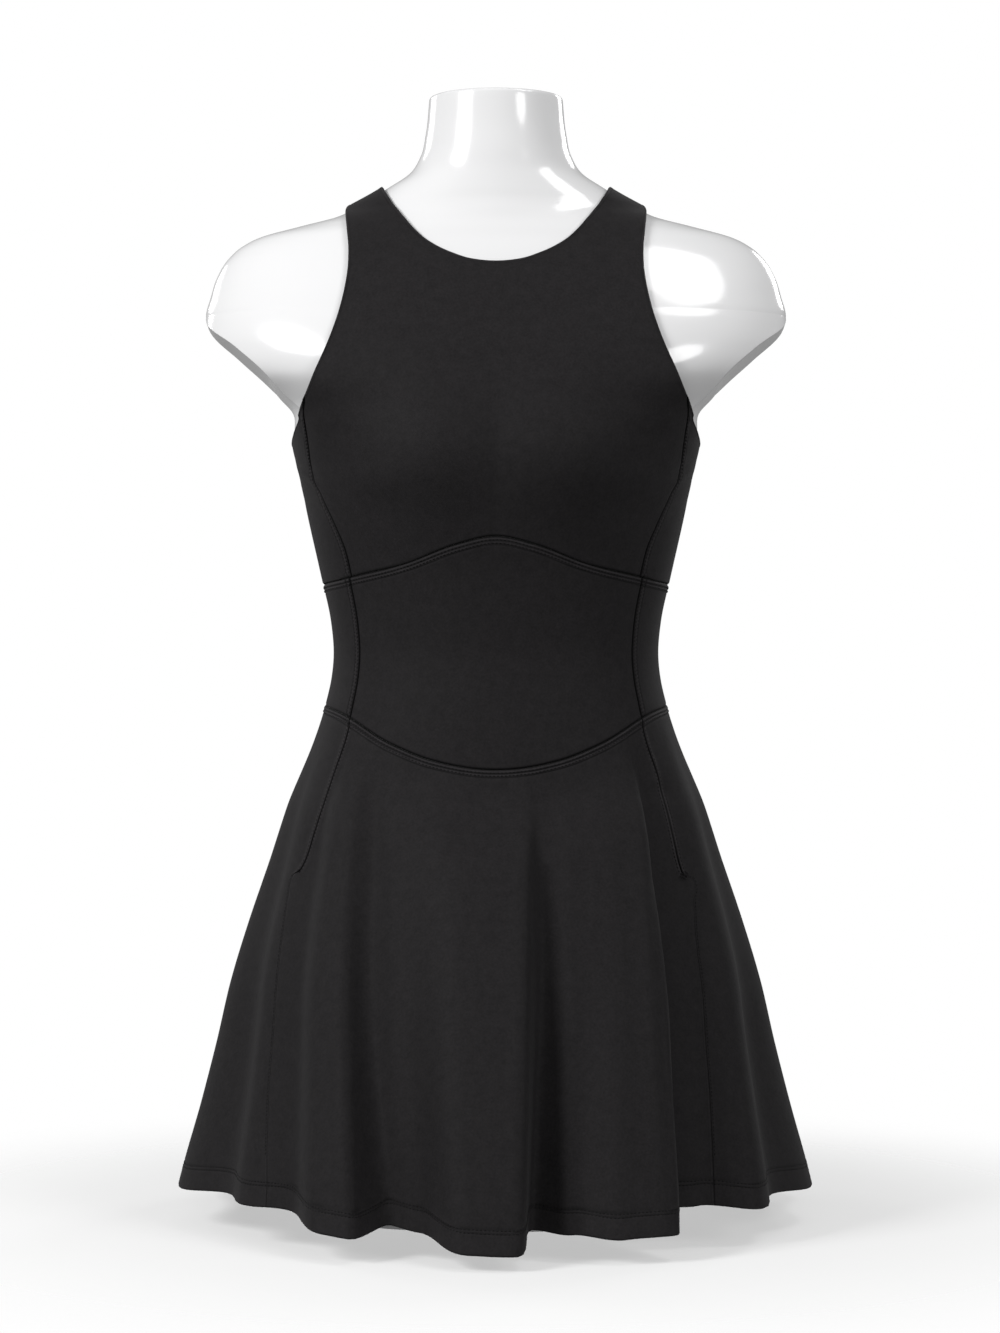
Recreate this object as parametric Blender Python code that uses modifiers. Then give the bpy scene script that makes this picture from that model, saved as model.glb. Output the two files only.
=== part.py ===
"""Sleeveless tennis dress with a flared skirt, standing on a limbless dress form.

Metres, +Z up. The front of the dress faces -Y and the wearer's left is +X.
The origin is the centre of the form's flat base.

A place on the body is given by its turn and its height. The turn runs from 0 at the
centre front over 90 at the wearer's left to 180 at the centre back, in degrees, and
is negative on the wearer's right.
"""
import math

import bpy
import numpy as np

# Cloth
WALL = 0.0016
LIFT = 0.0010
SEAM_GAP = 0.0003

# Columns: height, half_width, arm_half_width, front_depth, back_depth, roundness
BODY = (
    (0.000, 0.1330, 0.1330, 0.088, 0.094, 2.20),
    (0.080, 0.1420, 0.1420, 0.096, 0.102, 2.20),
    (0.150, 0.1495, 0.1495, 0.102, 0.109, 2.20),
    (0.220, 0.1535, 0.1535, 0.104, 0.113, 2.20),
    (0.260, 0.1495, 0.1495, 0.102, 0.109, 2.20),
    (0.313, 0.1365, 0.1365, 0.098, 0.098, 2.15),
    (0.366, 0.1212, 0.1212, 0.092, 0.081, 2.10),
    (0.385, 0.1168, 0.1168, 0.090, 0.076, 2.10),
    (0.403, 0.1150, 0.1150, 0.089, 0.073, 2.10),
    (0.427, 0.1168, 0.1168, 0.091, 0.074, 2.10),
    (0.462, 0.1243, 0.1243, 0.096, 0.079, 2.12),
    (0.497, 0.1322, 0.1322, 0.104, 0.085, 2.15),
    (0.532, 0.1397, 0.1397, 0.111, 0.090, 2.18),
    (0.549, 0.1433, 0.1433, 0.112, 0.093, 2.20),
    (0.561, 0.1450, 0.1450, 0.111, 0.095, 2.22),
    (0.575, 0.1488, 0.1510, 0.109, 0.096, 2.25),
    (0.590, 0.1552, 0.1740, 0.106, 0.096, 2.30),
    (0.604, 0.1682, 0.2000, 0.102, 0.096, 2.35),
    (0.622, 0.1885, 0.2110, 0.097, 0.095, 2.40),
    (0.6405, 0.2092, 0.2113, 0.090, 0.092, 2.40),
    (0.6475, 0.2106, 0.2106, 0.087, 0.090, 2.35),
    (0.662, 0.2070, 0.2070, 0.081, 0.086, 2.25),
    (0.677, 0.2019, 0.2019, 0.074, 0.081, 2.10),
    (0.691, 0.1929, 0.1929, 0.067, 0.075, 1.98),
    (0.6985, 0.1845, 0.1845, 0.063, 0.071, 1.92),
    (0.7057, 0.1704, 0.1704, 0.060, 0.068, 1.86),
    (0.713, 0.1435, 0.1435, 0.057, 0.065, 1.80),
    (0.720, 0.1165, 0.1165, 0.055, 0.063, 1.78),
    (0.7275, 0.1020, 0.1020, 0.053, 0.061, 1.80),
    (0.735, 0.0885, 0.0885, 0.052, 0.060, 1.85),
    (0.742, 0.0770, 0.0770, 0.051, 0.059, 1.90),
    (0.750, 0.0645, 0.0645, 0.050, 0.057, 1.95),
    (0.764, 0.0548, 0.0548, 0.049, 0.053, 2.00),
    (0.780, 0.0510, 0.0510, 0.0475, 0.0505, 2.00),
    (0.807, 0.0482, 0.0482, 0.0465, 0.0490, 2.00),
)
FORM_TOP = 0.807
NECK_ROUND = 0.0025

# Flat cut of the arm stumps
STUMP_TIP = 0.6475
STUMP_FLAT_TOP = 0.6465
STUMP_FLAT_END = 0.602
STUMP_FADE_END = 0.562
STUMP_EASE = 0.026
STUMP_TURN = 0.055
STUMP_PIVOT = 0.44
STUMP_LEAN_START = 0.692
STUMP_LEAN_FULL = 0.622
CORNER_TURN = 60.0
CORNER_SHARE = 0.999
TIP_SHARE = 0.985
NEARLY_ONE = 0.9999

# Two soft crowns of the bust
BUST_RISE = 0.013
BUST_OUT = 0.054
BUST_WIDTH = 0.050
BUST_HEIGHT = 0.540
BUST_ABOVE = 0.058
BUST_BELOW = 0.042

# Seams round the body, columns: turn, height
UNDERBUST = (
    (0, 0.4860),
    (10, 0.4812),
    (27, 0.4685),
    (54.8, 0.4585),
    (90, 0.4540),
    (180, 0.4530),
)
WAIST = (
    (0, 0.3227),
    (17, 0.3285),
    (32, 0.3394),
    (54.8, 0.3580),
    (90, 0.3670),
    (180, 0.3700),
)
SIDE_TURN = 54.8

# Front edges and seams of the bodice, columns: half_width, height
PRINCESS = (
    (0.1004, 0.4590),
    (0.1050, 0.4785),
    (0.1125, 0.4965),
    (0.1230, 0.5190),
    (0.1285, 0.5325),
    (0.1300, 0.5490),
    (0.1310, 0.5690),
    (0.1313, 0.5885),
)
ARMHOLE = (
    (0.1313, 0.5885),
    (0.1236, 0.6060),
    (0.1168, 0.6225),
    (0.1110, 0.6395),
    (0.1070, 0.6560),
    (0.1045, 0.6720),
    (0.1040, 0.6880),
    (0.1054, 0.7030),
    (0.1072, 0.7155),
    (0.1077, 0.7200),
)
NECKLINE_FRONT = (
    (0.0765, 0.7310),
    (0.0660, 0.7145),
    (0.0570, 0.7035),
    (0.0465, 0.6940),
    (0.0320, 0.6863),
    (0.0160, 0.6810),
    (0.0040, 0.6796),
    (0.0000, 0.6795),
)
NECKLINE_BACK = (
    (0.0765, 0.7330),
    (0.0680, 0.7130),
    (0.0590, 0.6960),
    (0.0460, 0.6810),
    (0.0300, 0.6710),
    (0.0150, 0.6663),
    (0.0040, 0.6651),
    (0.0000, 0.6650),
)
STRAP_OUTER = 0.1050
STRAP_INNER = 0.0812
STRAP_RISE = 0.0004
STRAP_LIFT = 0.0014
STRAP_LIFT_START = 0.5
STRAP_LIFT_FULL = 0.8
STRAP_RISE_START = 0.72
STRAP_REACH = 1.2
RIDGE_LOW = 0.700
RIDGE_HIGH = 0.745
RIDGE_STEPS = 91

# Cloth spans the hollow of the armpit
SPAN_LIFT = 0.0042
SPAN_HEIGHT = 0.588
SPAN_REACH = 0.026
SPAN_TURN = 15.0
ARMHOLE_LOW = 0.5560
ARMHOLE_POWER = 1.6
UNROLL_FLOOR = 0.400

# Skirt sections, columns: height, half_width, front_depth, back_depth
SKIRT = (
    (0.0085, 0.2288, 0.2290, 0.2200),
    (0.039, 0.2213, 0.2210, 0.2130),
    (0.0825, 0.2090, 0.2070, 0.1990),
    (0.126, 0.1979, 0.1910, 0.1830),
    (0.1695, 0.1881, 0.1740, 0.1660),
    (0.213, 0.1752, 0.1550, 0.1490),
    (0.2565, 0.1607, 0.1350, 0.1330),
    (0.300, 0.1469, 0.1160, 0.1140),
    (0.3145, 0.1417, 0.1090, 0.1070),
    (0.3406, 0.1320, 0.1000, 0.0960),
    (0.355, 0.1275, 0.0970, 0.0900),
    (0.372, 0.1225, 0.0940, 0.0840),
)
SKIRT_ROUNDNESS = 2.05
SKIRT_FREE = 0.22
FOLD_FREE = 0.21
BACK_SEAM_TURN = 3.0

# Hem, columns: turn, height
HEM = (
    (0, 0.0134),
    (14, 0.0160),
    (27, 0.0205),
    (45, 0.0262),
    (65, 0.0272),
    (90, 0.0270),
    (180, 0.0230),
)

# The hem drops where a fold stands out, as a share of how far it does
HEM_SWAY = 0.22

# Side-front seams of the skirt, columns: height, turn on the wearer's right, turn on the left
POCKET_SEAM = (
    (0.0235, 45.0, 43.8),
    (0.0400, 45.9, 44.6),
    (0.0700, 48.3, 46.3),
    (0.1020, 50.7, 48.1),
    (0.1600, 54.0, 51.0),
    (0.2170, 58.4, 54.4),
    (0.2380, 60.2, 56.3),
    (0.2495, 61.0, 58.2),
    (0.2535, 60.4, 57.8),
    (0.2570, 57.7, 55.4),
    (0.2600, 57.1, 55.0),
    (0.2764, 56.2, 55.5),
    (0.2930, 55.5, 55.6),
    (0.3220, 54.6, 54.9),
    (0.3440, 53.7, 53.7),
    (0.3515, 53.8, 53.8),
    (0.3580, 54.8, 54.8),
)

# Ridges and valleys, columns: turn at the waist, turn at the hem, outward and sideways
# at the hem, and how late the fold grows on the way down
FOLDS = (
    (-168, -167, 0.011, -0.004, 1.3),
    (-153, -152, -0.015, 0.000, 1.3),
    (-138, -137, 0.012, -0.004, 1.3),
    (-122, -121, -0.015, 0.000, 1.2),
    (-108, -106, 0.009, -0.003, 1.2),
    (-97, -91, -0.005, 0.000, 1.2),
    (-86, -76, 0.005, 0.000, 1.2),
    (-76, -60, -0.012, 0.000, 1.1),
    (-69, -51, -0.003, 0.000, 1.0),
    (-58, -40, -0.011, 0.000, 1.0),
    (-49, -28.5, 0.010, 0.000, 1.0),
    (-44, -24.5, 0.011, 0.004, 0.9),
    (-37, -18.5, -0.022, -0.004, 0.9),
    (-29, -13.5, -0.016, 0.000, 1.0),
    (-8, -4.0, 0.014, 0.000, 0.8),
    (6, 1.5, 0.016, 0.005, 0.8),
    (14, 8.0, -0.026, -0.005, 0.9),
    (21, 13.0, -0.012, 0.000, 0.9),
    (33, 21.0, 0.007, 0.000, 0.8),
    (41.5, 28.0, 0.012, 0.007, 0.7),
    (49.5, 34.5, -0.028, -0.006, 0.7),
    (57, 41.0, -0.018, 0.000, 0.9),
    (70, 51, 0.006, 0.003, 0.9),
    (80, 62, -0.008, 0.000, 1.2),
    (88, 76, 0.004, 0.000, 1.2),
    (98, 91, -0.005, 0.000, 1.2),
    (109, 105, 0.010, 0.003, 1.2),
    (122, 120, -0.015, 0.000, 1.2),
    (138, 136, 0.012, 0.005, 1.3),
    (152, 151, -0.015, 0.000, 1.3),
    (166, 165, 0.010, 0.003, 1.3),
    (180, 179, -0.013, 0.000, 1.3),
)

# Mesh steps
FRONT_COLUMNS = 30
SIDE_COLUMNS = 12
BACK_COLUMNS = 24
PRINCESS_ROWS = 8
ARMHOLE_ROWS = 11
STRAP_COLUMNS = 3
MIDRIFF_ROWS = 5
SKIRT_ROWS = 14
SKIRT_ROW_POWER = 1.15
FORM_COLUMNS = 52
FORM_ROWS = 46

# The form's rings are closer together from the armpit up to the neck
DENSE_SHARE = 1.4
DENSE_HEIGHT = 0.640
DENSE_REACH = 0.085

CLOTH_COLOUR = (0.020, 0.019, 0.020, 1.0)
CLOTH_ROUGHNESS = 0.85
FORM_COLOUR = (0.86, 0.86, 0.86, 1.0)
FORM_ROUGHNESS = 0.18

PROBE = 0.0004
PROBE_TURN = 0.2
FINE_STEPS = 240
SIDE_HOLD = 2.0
FORM_STEPS = 400
TURN_ROUNDS = 8
SOLVE_ROUNDS = 12
SOLVE_START = 0.5


def column(table, index):
    return np.array([row[index] for row in table], dtype=float)


def through(xs, ys, at):
    """Height of a smooth curve through the points xs, ys, with level ends."""
    at = np.clip(np.asarray(at, dtype=float), xs[0], xs[-1])
    slopes = np.gradient(ys, xs)
    cell = np.clip(np.searchsorted(xs, at, side="right") - 1, 0, len(xs) - 2)
    step = xs[cell + 1] - xs[cell]
    s = (at - xs[cell]) / step
    return (
        ys[cell] * (1 + 2 * s) * (1 - s) ** 2
        + ys[cell + 1] * s ** 2 * (3 - 2 * s)
        + slopes[cell] * step * s * (1 - s) ** 2
        - slopes[cell + 1] * step * s ** 2 * (1 - s)
    )


def ramp(value, start, end):
    """Smooth step from 0 at start to 1 at end."""
    s = np.clip((value - start) / (end - start), 0.0, 1.0)
    return s * s * (3 - 2 * s)


def mix(a, b, share):
    return a + (b - a) * share


BODY_HEIGHTS = column(BODY, 0)


def body_value(index, height):
    return through(BODY_HEIGHTS, column(BODY, index), height)


def stump_flatness(height):
    """1 where the stump's cut is flat, 0 above its tip and below the armpit."""
    below = 1 - ramp(height, STUMP_FLAT_TOP, STUMP_TIP)
    return below * ramp(height, STUMP_FADE_END, STUMP_FLAT_END)


def stump_lean(height):
    """How far the stump turns to the front, easing out above its tip and below the armpit."""
    below = 1 - ramp(height, STUMP_LEAN_FULL, STUMP_LEAN_START)
    return below * ramp(height, STUMP_FADE_END, STUMP_FLAT_END)


def ring(height):
    """Width, roundness and corner of the body's section at a height."""
    flat = stump_flatness(height)
    outline = body_value(1, height)
    width = mix(outline, body_value(2, height), flat)
    roundness = body_value(5, height)
    plain = math.sin(math.radians(CORNER_TURN)) ** (2 / roundness)
    near_tip = 1 - ramp(height, STUMP_TIP, STUMP_TIP + STUMP_EASE)
    above = np.where(height > STUMP_FLAT_TOP, near_tip * TIP_SHARE, 0.0)
    share = mix(plain, np.clip(outline / width, 0.0, CORNER_SHARE), flat)
    share = mix(share, CORNER_SHARE, above)
    corner = np.arcsin(np.clip(share, 0, NEARLY_ONE) ** (roundness / 2))
    return width, roundness, corner, flat


def bust(x, height):
    """How far the bust stands out of the plain section."""
    tall = np.where(height > BUST_HEIGHT, BUST_ABOVE, BUST_BELOW)
    up = ((height - BUST_HEIGHT) / tall) ** 2
    across = ((np.abs(x) - BUST_OUT) / BUST_WIDTH) ** 2
    return BUST_RISE * np.exp(-up - across)


def body_point(turn, height):
    """Points on the body at the given turns and heights."""
    turn = (np.asarray(turn, dtype=float) + 180.0) % 360.0 - 180.0
    height = np.asarray(height, dtype=float)
    turn, height = np.broadcast_arrays(turn, height)
    side = np.where(turn < 0, -1.0, 1.0)
    quarter = np.where(np.abs(turn) > 90, 180 - np.abs(turn), np.abs(turn))
    front = np.abs(turn) <= 90
    width, roundness, corner, flat = ring(height)
    depth = np.where(front, body_value(3, height), body_value(4, height))
    past = np.clip((quarter - CORNER_TURN) / (90 - CORNER_TURN), 0, 1)
    lead = corner - math.radians(CORNER_TURN)
    inner = np.radians(quarter) + lead * (quarter / CORNER_TURN) ** 3
    outer = corner + past * (math.pi / 2 - corner)
    angle = np.where(quarter < CORNER_TURN, inner, outer)
    power = 2 / roundness
    x = width * np.sin(angle) ** power
    y = depth * np.clip(np.cos(angle), 0, 1) ** power
    chord_x = width * np.sin(corner) ** power
    chord_y = depth * np.cos(corner) ** power * (1 - past)
    on_side = flat * (quarter >= CORNER_TURN)
    x = mix(x, chord_x, on_side)
    y = mix(y, chord_y, on_side)
    y = np.where(front, -y, y)
    depth_share = (body_value(4, height) - y) / (body_value(3, height) + body_value(4, height))
    x = x * (1 + STUMP_TURN * stump_lean(height) * (STUMP_PIVOT - depth_share))
    y = np.where(front, y - bust(x, height) * np.cos(np.radians(quarter)), y)
    return np.stack([side * x, y, height], axis=-1)


def unit(vectors):
    return vectors / np.linalg.norm(vectors, axis=-1, keepdims=True)


def body_cloth(turn, height, lift=LIFT):
    """Points of cloth that lies on the body, a lift away from it."""
    turn = np.asarray(turn, dtype=float)
    height = np.asarray(height, dtype=float)
    low = np.maximum(height - PROBE, 0)
    sideward = body_point(turn + PROBE_TURN, height) - body_point(turn - PROBE_TURN, height)
    upward = body_point(turn, height + PROBE) - body_point(turn, low)
    out = unit(np.cross(sideward, upward))
    fold = np.abs((turn + 180) % 360 - 180)
    side = ramp(np.minimum(fold, 180 - fold), SPAN_TURN, CORNER_TURN)
    span = SPAN_LIFT * side * np.exp(-((height - SPAN_HEIGHT) / SPAN_REACH) ** 2)
    return body_point(turn, height) + out * (lift + span)[..., None]


def turn_at(x, height):
    """Turn of the place on the front that is x to the side, as body_point has it."""
    width, roundness, corner, flat = ring(height)
    front = body_value(3, height)
    back = body_value(4, height)
    angle = np.full_like(np.asarray(x, dtype=float), SOLVE_START)
    for _ in range(TURN_ROUNDS):
        y = -front * np.cos(angle) ** (2 / roundness)
        shrink = 1 + STUMP_TURN * stump_lean(height) * (STUMP_PIVOT - (back - y) / (front + back))
        share = np.clip(np.abs(x) / (width * shrink), 0, NEARLY_ONE)
        angle = np.arcsin(share ** (roundness / 2))
    lead = np.degrees(corner) - CORNER_TURN
    wanted = np.degrees(angle)
    inner = np.minimum(wanted, CORNER_TURN)
    for _ in range(SOLVE_ROUNDS):
        miss = inner + lead * (inner / CORNER_TURN) ** 3 - wanted
        inner = inner - miss / (1 + 3 * lead * inner ** 2 / CORNER_TURN ** 3)
    outer = CORNER_TURN + (angle - corner) / (math.pi / 2 - corner) * (90 - CORNER_TURN)
    return np.sign(x) * np.where(angle < corner, inner, outer)


def ridge_height(x):
    """Height of the shoulder's ridge, level inside the strap."""
    heights = np.linspace(RIDGE_LOW, RIDGE_HIGH, RIDGE_STEPS)
    widths = body_value(1, heights)
    reach = np.clip(np.abs(x), STRAP_INNER, None)
    return np.interp(-reach, -widths, heights)


def over_shoulder(x, climb, face):
    """Cloth over the shoulder; climb is 1 on the ridge, face is -1 in front and 1 behind."""
    top = ridge_height(x)
    height = top - (top - UNROLL_FLOOR) * (1 - climb) ** 2
    turn = np.abs(turn_at(np.abs(x), height))
    ridge = climb > NEARLY_ONE
    turn = np.where(ridge, 90.0, turn)
    turn = np.where(face > 0, 180 - turn, turn) * np.where(x < 0, -1, 1)
    lift = LIFT + STRAP_LIFT * ramp(climb, STRAP_LIFT_START, STRAP_LIFT_FULL)
    points = body_cloth(turn, height, lift)
    across = (np.abs(x) - STRAP_INNER) / (STRAP_OUTER - STRAP_INNER)
    rise = STRAP_RISE * ramp(climb, STRAP_RISE_START, 1.0) * np.clip(across, 0, STRAP_REACH)
    points[..., 2] += rise
    points[..., 1] = np.where(ridge, 0.0, points[..., 1])
    return points


def climb_at(x, height):
    top = ridge_height(x)
    return 1 - np.sqrt(np.clip((top - height) / (top - UNROLL_FLOOR), 0, 1))


def along(points, count):
    """Evenly spaced places on a smooth curve through a table of points."""
    points = np.array(points, dtype=float)
    length = np.concatenate([[0], np.cumsum(np.linalg.norm(np.diff(points, axis=0), axis=1))])
    at = np.linspace(0, length[-1], count + 1)
    return np.stack([through(length, points[:, i], at) for i in range(points.shape[1])], axis=-1)


def between(bottom, top, left, right):
    """Grid between four sides; the bend of the left and right sides dies away inward."""
    u = np.linspace(0, 1, len(bottom))[None, :, None]
    v = np.linspace(0, 1, len(left))[:, None, None]
    left_bend = left[:, None] - ((1 - v) * left[0] + v * left[-1])
    right_bend = right[:, None] - ((1 - v) * right[0] + v * right[-1])
    ruled = (1 - v) * bottom[None] + v * top[None]
    return ruled + (1 - u) ** SIDE_HOLD * left_bend + u ** SIDE_HOLD * right_bend


def even(domain, count, face):
    """Places evenly spaced along a line given by its side distance and climb."""
    fine = along(domain, FINE_STEPS)
    points = over_shoulder(fine[:, 0], fine[:, 1], face)
    steps = np.linalg.norm(np.diff(points, axis=0), axis=1)
    length = np.concatenate([[0], np.cumsum(steps)])
    at = np.linspace(0, length[-1], count + 1)
    return np.stack([np.interp(at, length, fine[:, i]) for i in (0, 1)], axis=-1)


def with_climb(table):
    return [(x, float(climb_at(x, height))) for x, height in table]


def pull_in(grid, gap):
    """Draws the four edges of a grid of points in by half the seam gap."""
    grid = grid.copy()
    for edge, inner in ((0, 1), (-1, -2)):
        grid[edge] += unit(grid[inner] - grid[edge]) * gap / 2
    for edge, inner in ((0, 1), (-1, -2)):
        grid[:, edge] += unit(grid[:, inner] - grid[:, edge]) * gap / 2
    return grid


def seam_heights(table, turn):
    """Height of a seam at a turn, level where it crosses the centre front."""
    turns = column(table, 0)
    heights = column(table, 1)
    turns = np.concatenate([[-turns[1]], turns])
    heights = np.concatenate([[heights[1]], heights])
    return through(turns, heights, np.abs(turn))


def strap_panel(neckline, columns, face):
    """Front or back of the bodice with its straps, from the underbust seam to the ridge."""
    princess = along(PRINCESS, PRINCESS_ROWS)
    princess = np.stack([princess[:, 0], climb_at(princess[:, 0], princess[:, 1])], axis=-1)
    edge = even(with_climb(ARMHOLE) + [(STRAP_OUTER, 1.0)], ARMHOLE_ROWS, face)
    side_domain = np.concatenate([princess, edge[1:]])
    strap_x = np.linspace(STRAP_OUTER, STRAP_INNER, STRAP_COLUMNS + 1)
    strap = np.stack([strap_x, np.ones_like(strap_x)], axis=-1)
    neck_columns = columns // 2 - STRAP_COLUMNS
    neck_domain = even([(STRAP_INNER, 1.0)] + with_climb(neckline), neck_columns, face)
    half_top = np.concatenate([strap, neck_domain[1:]])
    mirrored = half_top[::-1][1:] * np.array([-1, 1])
    top = np.concatenate([half_top, mirrored])
    turns = np.linspace(SIDE_TURN, -SIDE_TURN, columns + 1)
    heights = seam_heights(UNDERBUST, turns if face < 0 else 180 - np.abs(turns))
    bottom_turns = turns if face < 0 else np.where(turns < 0, -180 - turns, 180 - turns)
    seam = body_cloth(bottom_turns, heights)
    bottom = np.stack([seam[:, 0], climb_at(seam[:, 0], heights)], axis=-1)
    left = side_domain.copy()
    left[0] = bottom[0]
    right = left * np.array([-1, 1])
    domain = between(bottom, top, left, right)
    grid = over_shoulder(domain[..., 0], domain[..., 1], face)
    grid[0] = seam
    seam_points = princess_seam(face)
    grid[: PRINCESS_ROWS + 1, 0] = seam_points
    grid[: PRINCESS_ROWS + 1, -1] = seam_points * np.array([-1, 1, 1])
    return grid


def princess_domain():
    """Turn and height of the places on the front princess seam of the wearer's left."""
    places = along(PRINCESS, PRINCESS_ROWS)
    turn = turn_at(places[:, 0], places[:, 1])
    height = places[:, 1].copy()
    turn[0] = SIDE_TURN
    height[0] = seam_heights(UNDERBUST, SIDE_TURN)
    return turn, height


def princess_seam(face):
    turn, height = princess_domain()
    if face > 0:
        turn = 180 - turn
        height = height.copy()
        height[0] = seam_heights(UNDERBUST, 180 - SIDE_TURN)
    return body_cloth(turn, height)


def side_panel():
    """Left side of the bodice, from the front princess seam round to the back one."""
    turn, height = princess_domain()
    left = np.stack([turn, height], axis=-1)
    right = np.stack([180 - turn, height], axis=-1)
    turns = np.linspace(SIDE_TURN, 180 - SIDE_TURN, SIDE_COLUMNS + 1)
    bottom = np.stack([turns, seam_heights(UNDERBUST, turns)], axis=-1)
    right[0] = bottom[-1]
    across = np.linspace(-1, 1, SIDE_COLUMNS + 1)
    top_turn = mix(left[-1, 0], right[-1, 0], (across + 1) / 2)
    top_height = ARMHOLE_LOW + (left[-1, 1] - ARMHOLE_LOW) * np.abs(across) ** ARMHOLE_POWER
    top = np.stack([top_turn, top_height], axis=-1)
    domain = between(bottom, top, left, right)
    grid = body_cloth(domain[..., 0], domain[..., 1])
    grid[0] = body_cloth(turns, seam_heights(UNDERBUST, turns))
    grid[:, 0] = princess_seam(-1)
    grid[:, -1] = princess_seam(1)
    return grid


def midriff_panel(start, end, columns):
    turns = np.linspace(start, end, columns + 1)[None, :]
    shares = np.linspace(0, 1, MIDRIFF_ROWS + 1)[:, None]
    fold = np.abs((turns + 180) % 360 - 180)
    heights = mix(seam_heights(WAIST, fold), seam_heights(UNDERBUST, fold), shares)
    return body_cloth(turns + 0 * shares, heights)


def section(table_heights, table, turn, height):
    """Point of a plain oval skirt section, and its outward direction."""
    width = through(table_heights, column(table, 1), height)
    front = through(table_heights, column(table, 2), height)
    back = through(table_heights, column(table, 3), height)
    angle = np.radians(turn)
    power = 2 / SKIRT_ROUNDNESS
    x = width * np.sign(np.sin(angle)) * np.abs(np.sin(angle)) ** power
    depth = np.where(np.cos(angle) > 0, front, back)
    y = -depth * np.sign(np.cos(angle)) * np.abs(np.cos(angle)) ** power
    return np.stack([x, y, height], axis=-1)


def fold_offsets(turn, fall):
    """Outward and sideways offsets of the folds at a turn, fall from 0 at the waist to 1."""
    wrapped = (turn + 180) % 360 - 180
    table = FOLDS[-2:] + FOLDS + FOLDS[:2]
    shift = np.array([-360] * 2 + [0] * len(FOLDS) + [360] * 2, dtype=float)
    at = [mix(row[0], row[1], fall) + shift[i] for i, row in enumerate(table)]
    outward = np.zeros_like(wrapped)
    sideways = np.zeros_like(wrapped)
    for i in range(len(table) - 1):
        inside = (wrapped >= at[i]) & (wrapped < at[i + 1])
        share = np.clip((wrapped - at[i]) / (at[i + 1] - at[i]), 0, 1)
        wave = (1 - np.cos(np.pi * share)) / 2
        here = table[i]
        following = table[i + 1]
        out_a = here[2] * fall ** here[4]
        out_b = following[2] * fall ** following[4]
        side_a = here[3] * fall ** here[4]
        side_b = following[3] * fall ** following[4]
        outward = np.where(inside, mix(out_a, out_b, wave), outward)
        sideways = np.where(inside, mix(side_a, side_b, wave), sideways)
    return outward, sideways


def skirt_point(turn, fall):
    """Points of the skirt's cloth; fall runs from 0 at the waist seam to 1 at the hem."""
    turn, fall = np.broadcast_arrays(np.asarray(turn, dtype=float), np.asarray(fall, dtype=float))
    fold = np.abs((turn + 180) % 360 - 180)
    top = seam_heights(WAIST, fold)
    hem = seam_heights(HEM, fold) - HEM_SWAY * fold_offsets(turn, np.ones_like(fall))[0]
    height = mix(top, hem, fall)
    snug = body_cloth(turn, height)
    loose = section(column(SKIRT, 0), SKIRT, turn, height)
    points = mix(snug, loose, ramp(fall, 0.0, SKIRT_FREE)[..., None])
    outward, sideways = fold_offsets(turn, fall)
    outward = np.where(outward < 0, outward * ramp(fall, 0.0, FOLD_FREE), outward)
    radial = np.stack([points[..., 0], points[..., 1], 0 * turn], axis=-1)
    radial = unit(radial)
    tangent = np.stack([-radial[..., 1], radial[..., 0], 0 * turn], axis=-1)
    return points + radial * outward[..., None] + tangent * sideways[..., None]


def pocket_turn(height, side):
    return through(column(POCKET_SEAM, 0), column(POCKET_SEAM, 1 if side < 0 else 2), height)


def skirt_panel(start_side, end_side, columns):
    """Skirt panel between two seams, each given as (side, face) of its waist end."""
    falls = (np.linspace(0, 1, SKIRT_ROWS + 1) ** SKIRT_ROW_POWER)[:, None]

    def seam_turn(side, face):
        top = seam_heights(WAIST, SIDE_TURN if face < 0 else 180 - SIDE_TURN)
        hem = seam_heights(HEM, SIDE_TURN if face < 0 else 180 - SIDE_TURN)
        turn = pocket_turn(mix(top, hem, falls), side) if face < 0 else back_seam_turn(falls)
        return side * turn

    start = seam_turn(*start_side)
    end = seam_turn(*end_side)
    end = np.where(end < start, end + 360, end)
    shares = np.linspace(0, 1, columns + 1)[None, :]
    return skirt_point(mix(start, end, shares), falls + 0 * shares)


def back_seam_turn(falls):
    return mix(180 - SIDE_TURN, 180 - SIDE_TURN + BACK_SEAM_TURN, falls)


def fabric_material():
    material = bpy.data.materials.new("charcoal_knit")
    material.use_nodes = True
    shader = material.node_tree.nodes["Principled BSDF"]
    shader.inputs["Base Color"].default_value = CLOTH_COLOUR
    shader.inputs["Roughness"].default_value = CLOTH_ROUGHNESS
    shader.inputs["Metallic"].default_value = 0.0
    return material


def form_material():
    material = bpy.data.materials.new("white_gloss")
    material.use_nodes = True
    shader = material.node_tree.nodes["Principled BSDF"]
    shader.inputs["Base Color"].default_value = FORM_COLOUR
    shader.inputs["Roughness"].default_value = FORM_ROUGHNESS
    shader.inputs["Metallic"].default_value = 0.0
    return material


def add_object(name, vertices, faces, material, collection):
    mesh = bpy.data.meshes.new(name)
    mesh.from_pydata(vertices, [], faces)
    mesh.update()
    mesh.materials.append(material)
    mesh.shade_smooth()
    obj = bpy.data.objects.new(name, mesh)
    collection.objects.link(obj)
    return obj


def grid_faces(rows, columns, closed):
    """Quads of a grid of points, closed round where its last column meets its first."""
    across = columns if closed else columns - 1
    faces = []
    for row in range(rows - 1):
        for index in range(across):
            following = (index + 1) % columns
            lower = row * columns
            upper = lower + columns
            faces.append((lower + index, lower + following, upper + following, upper + index))
    return faces


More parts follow.
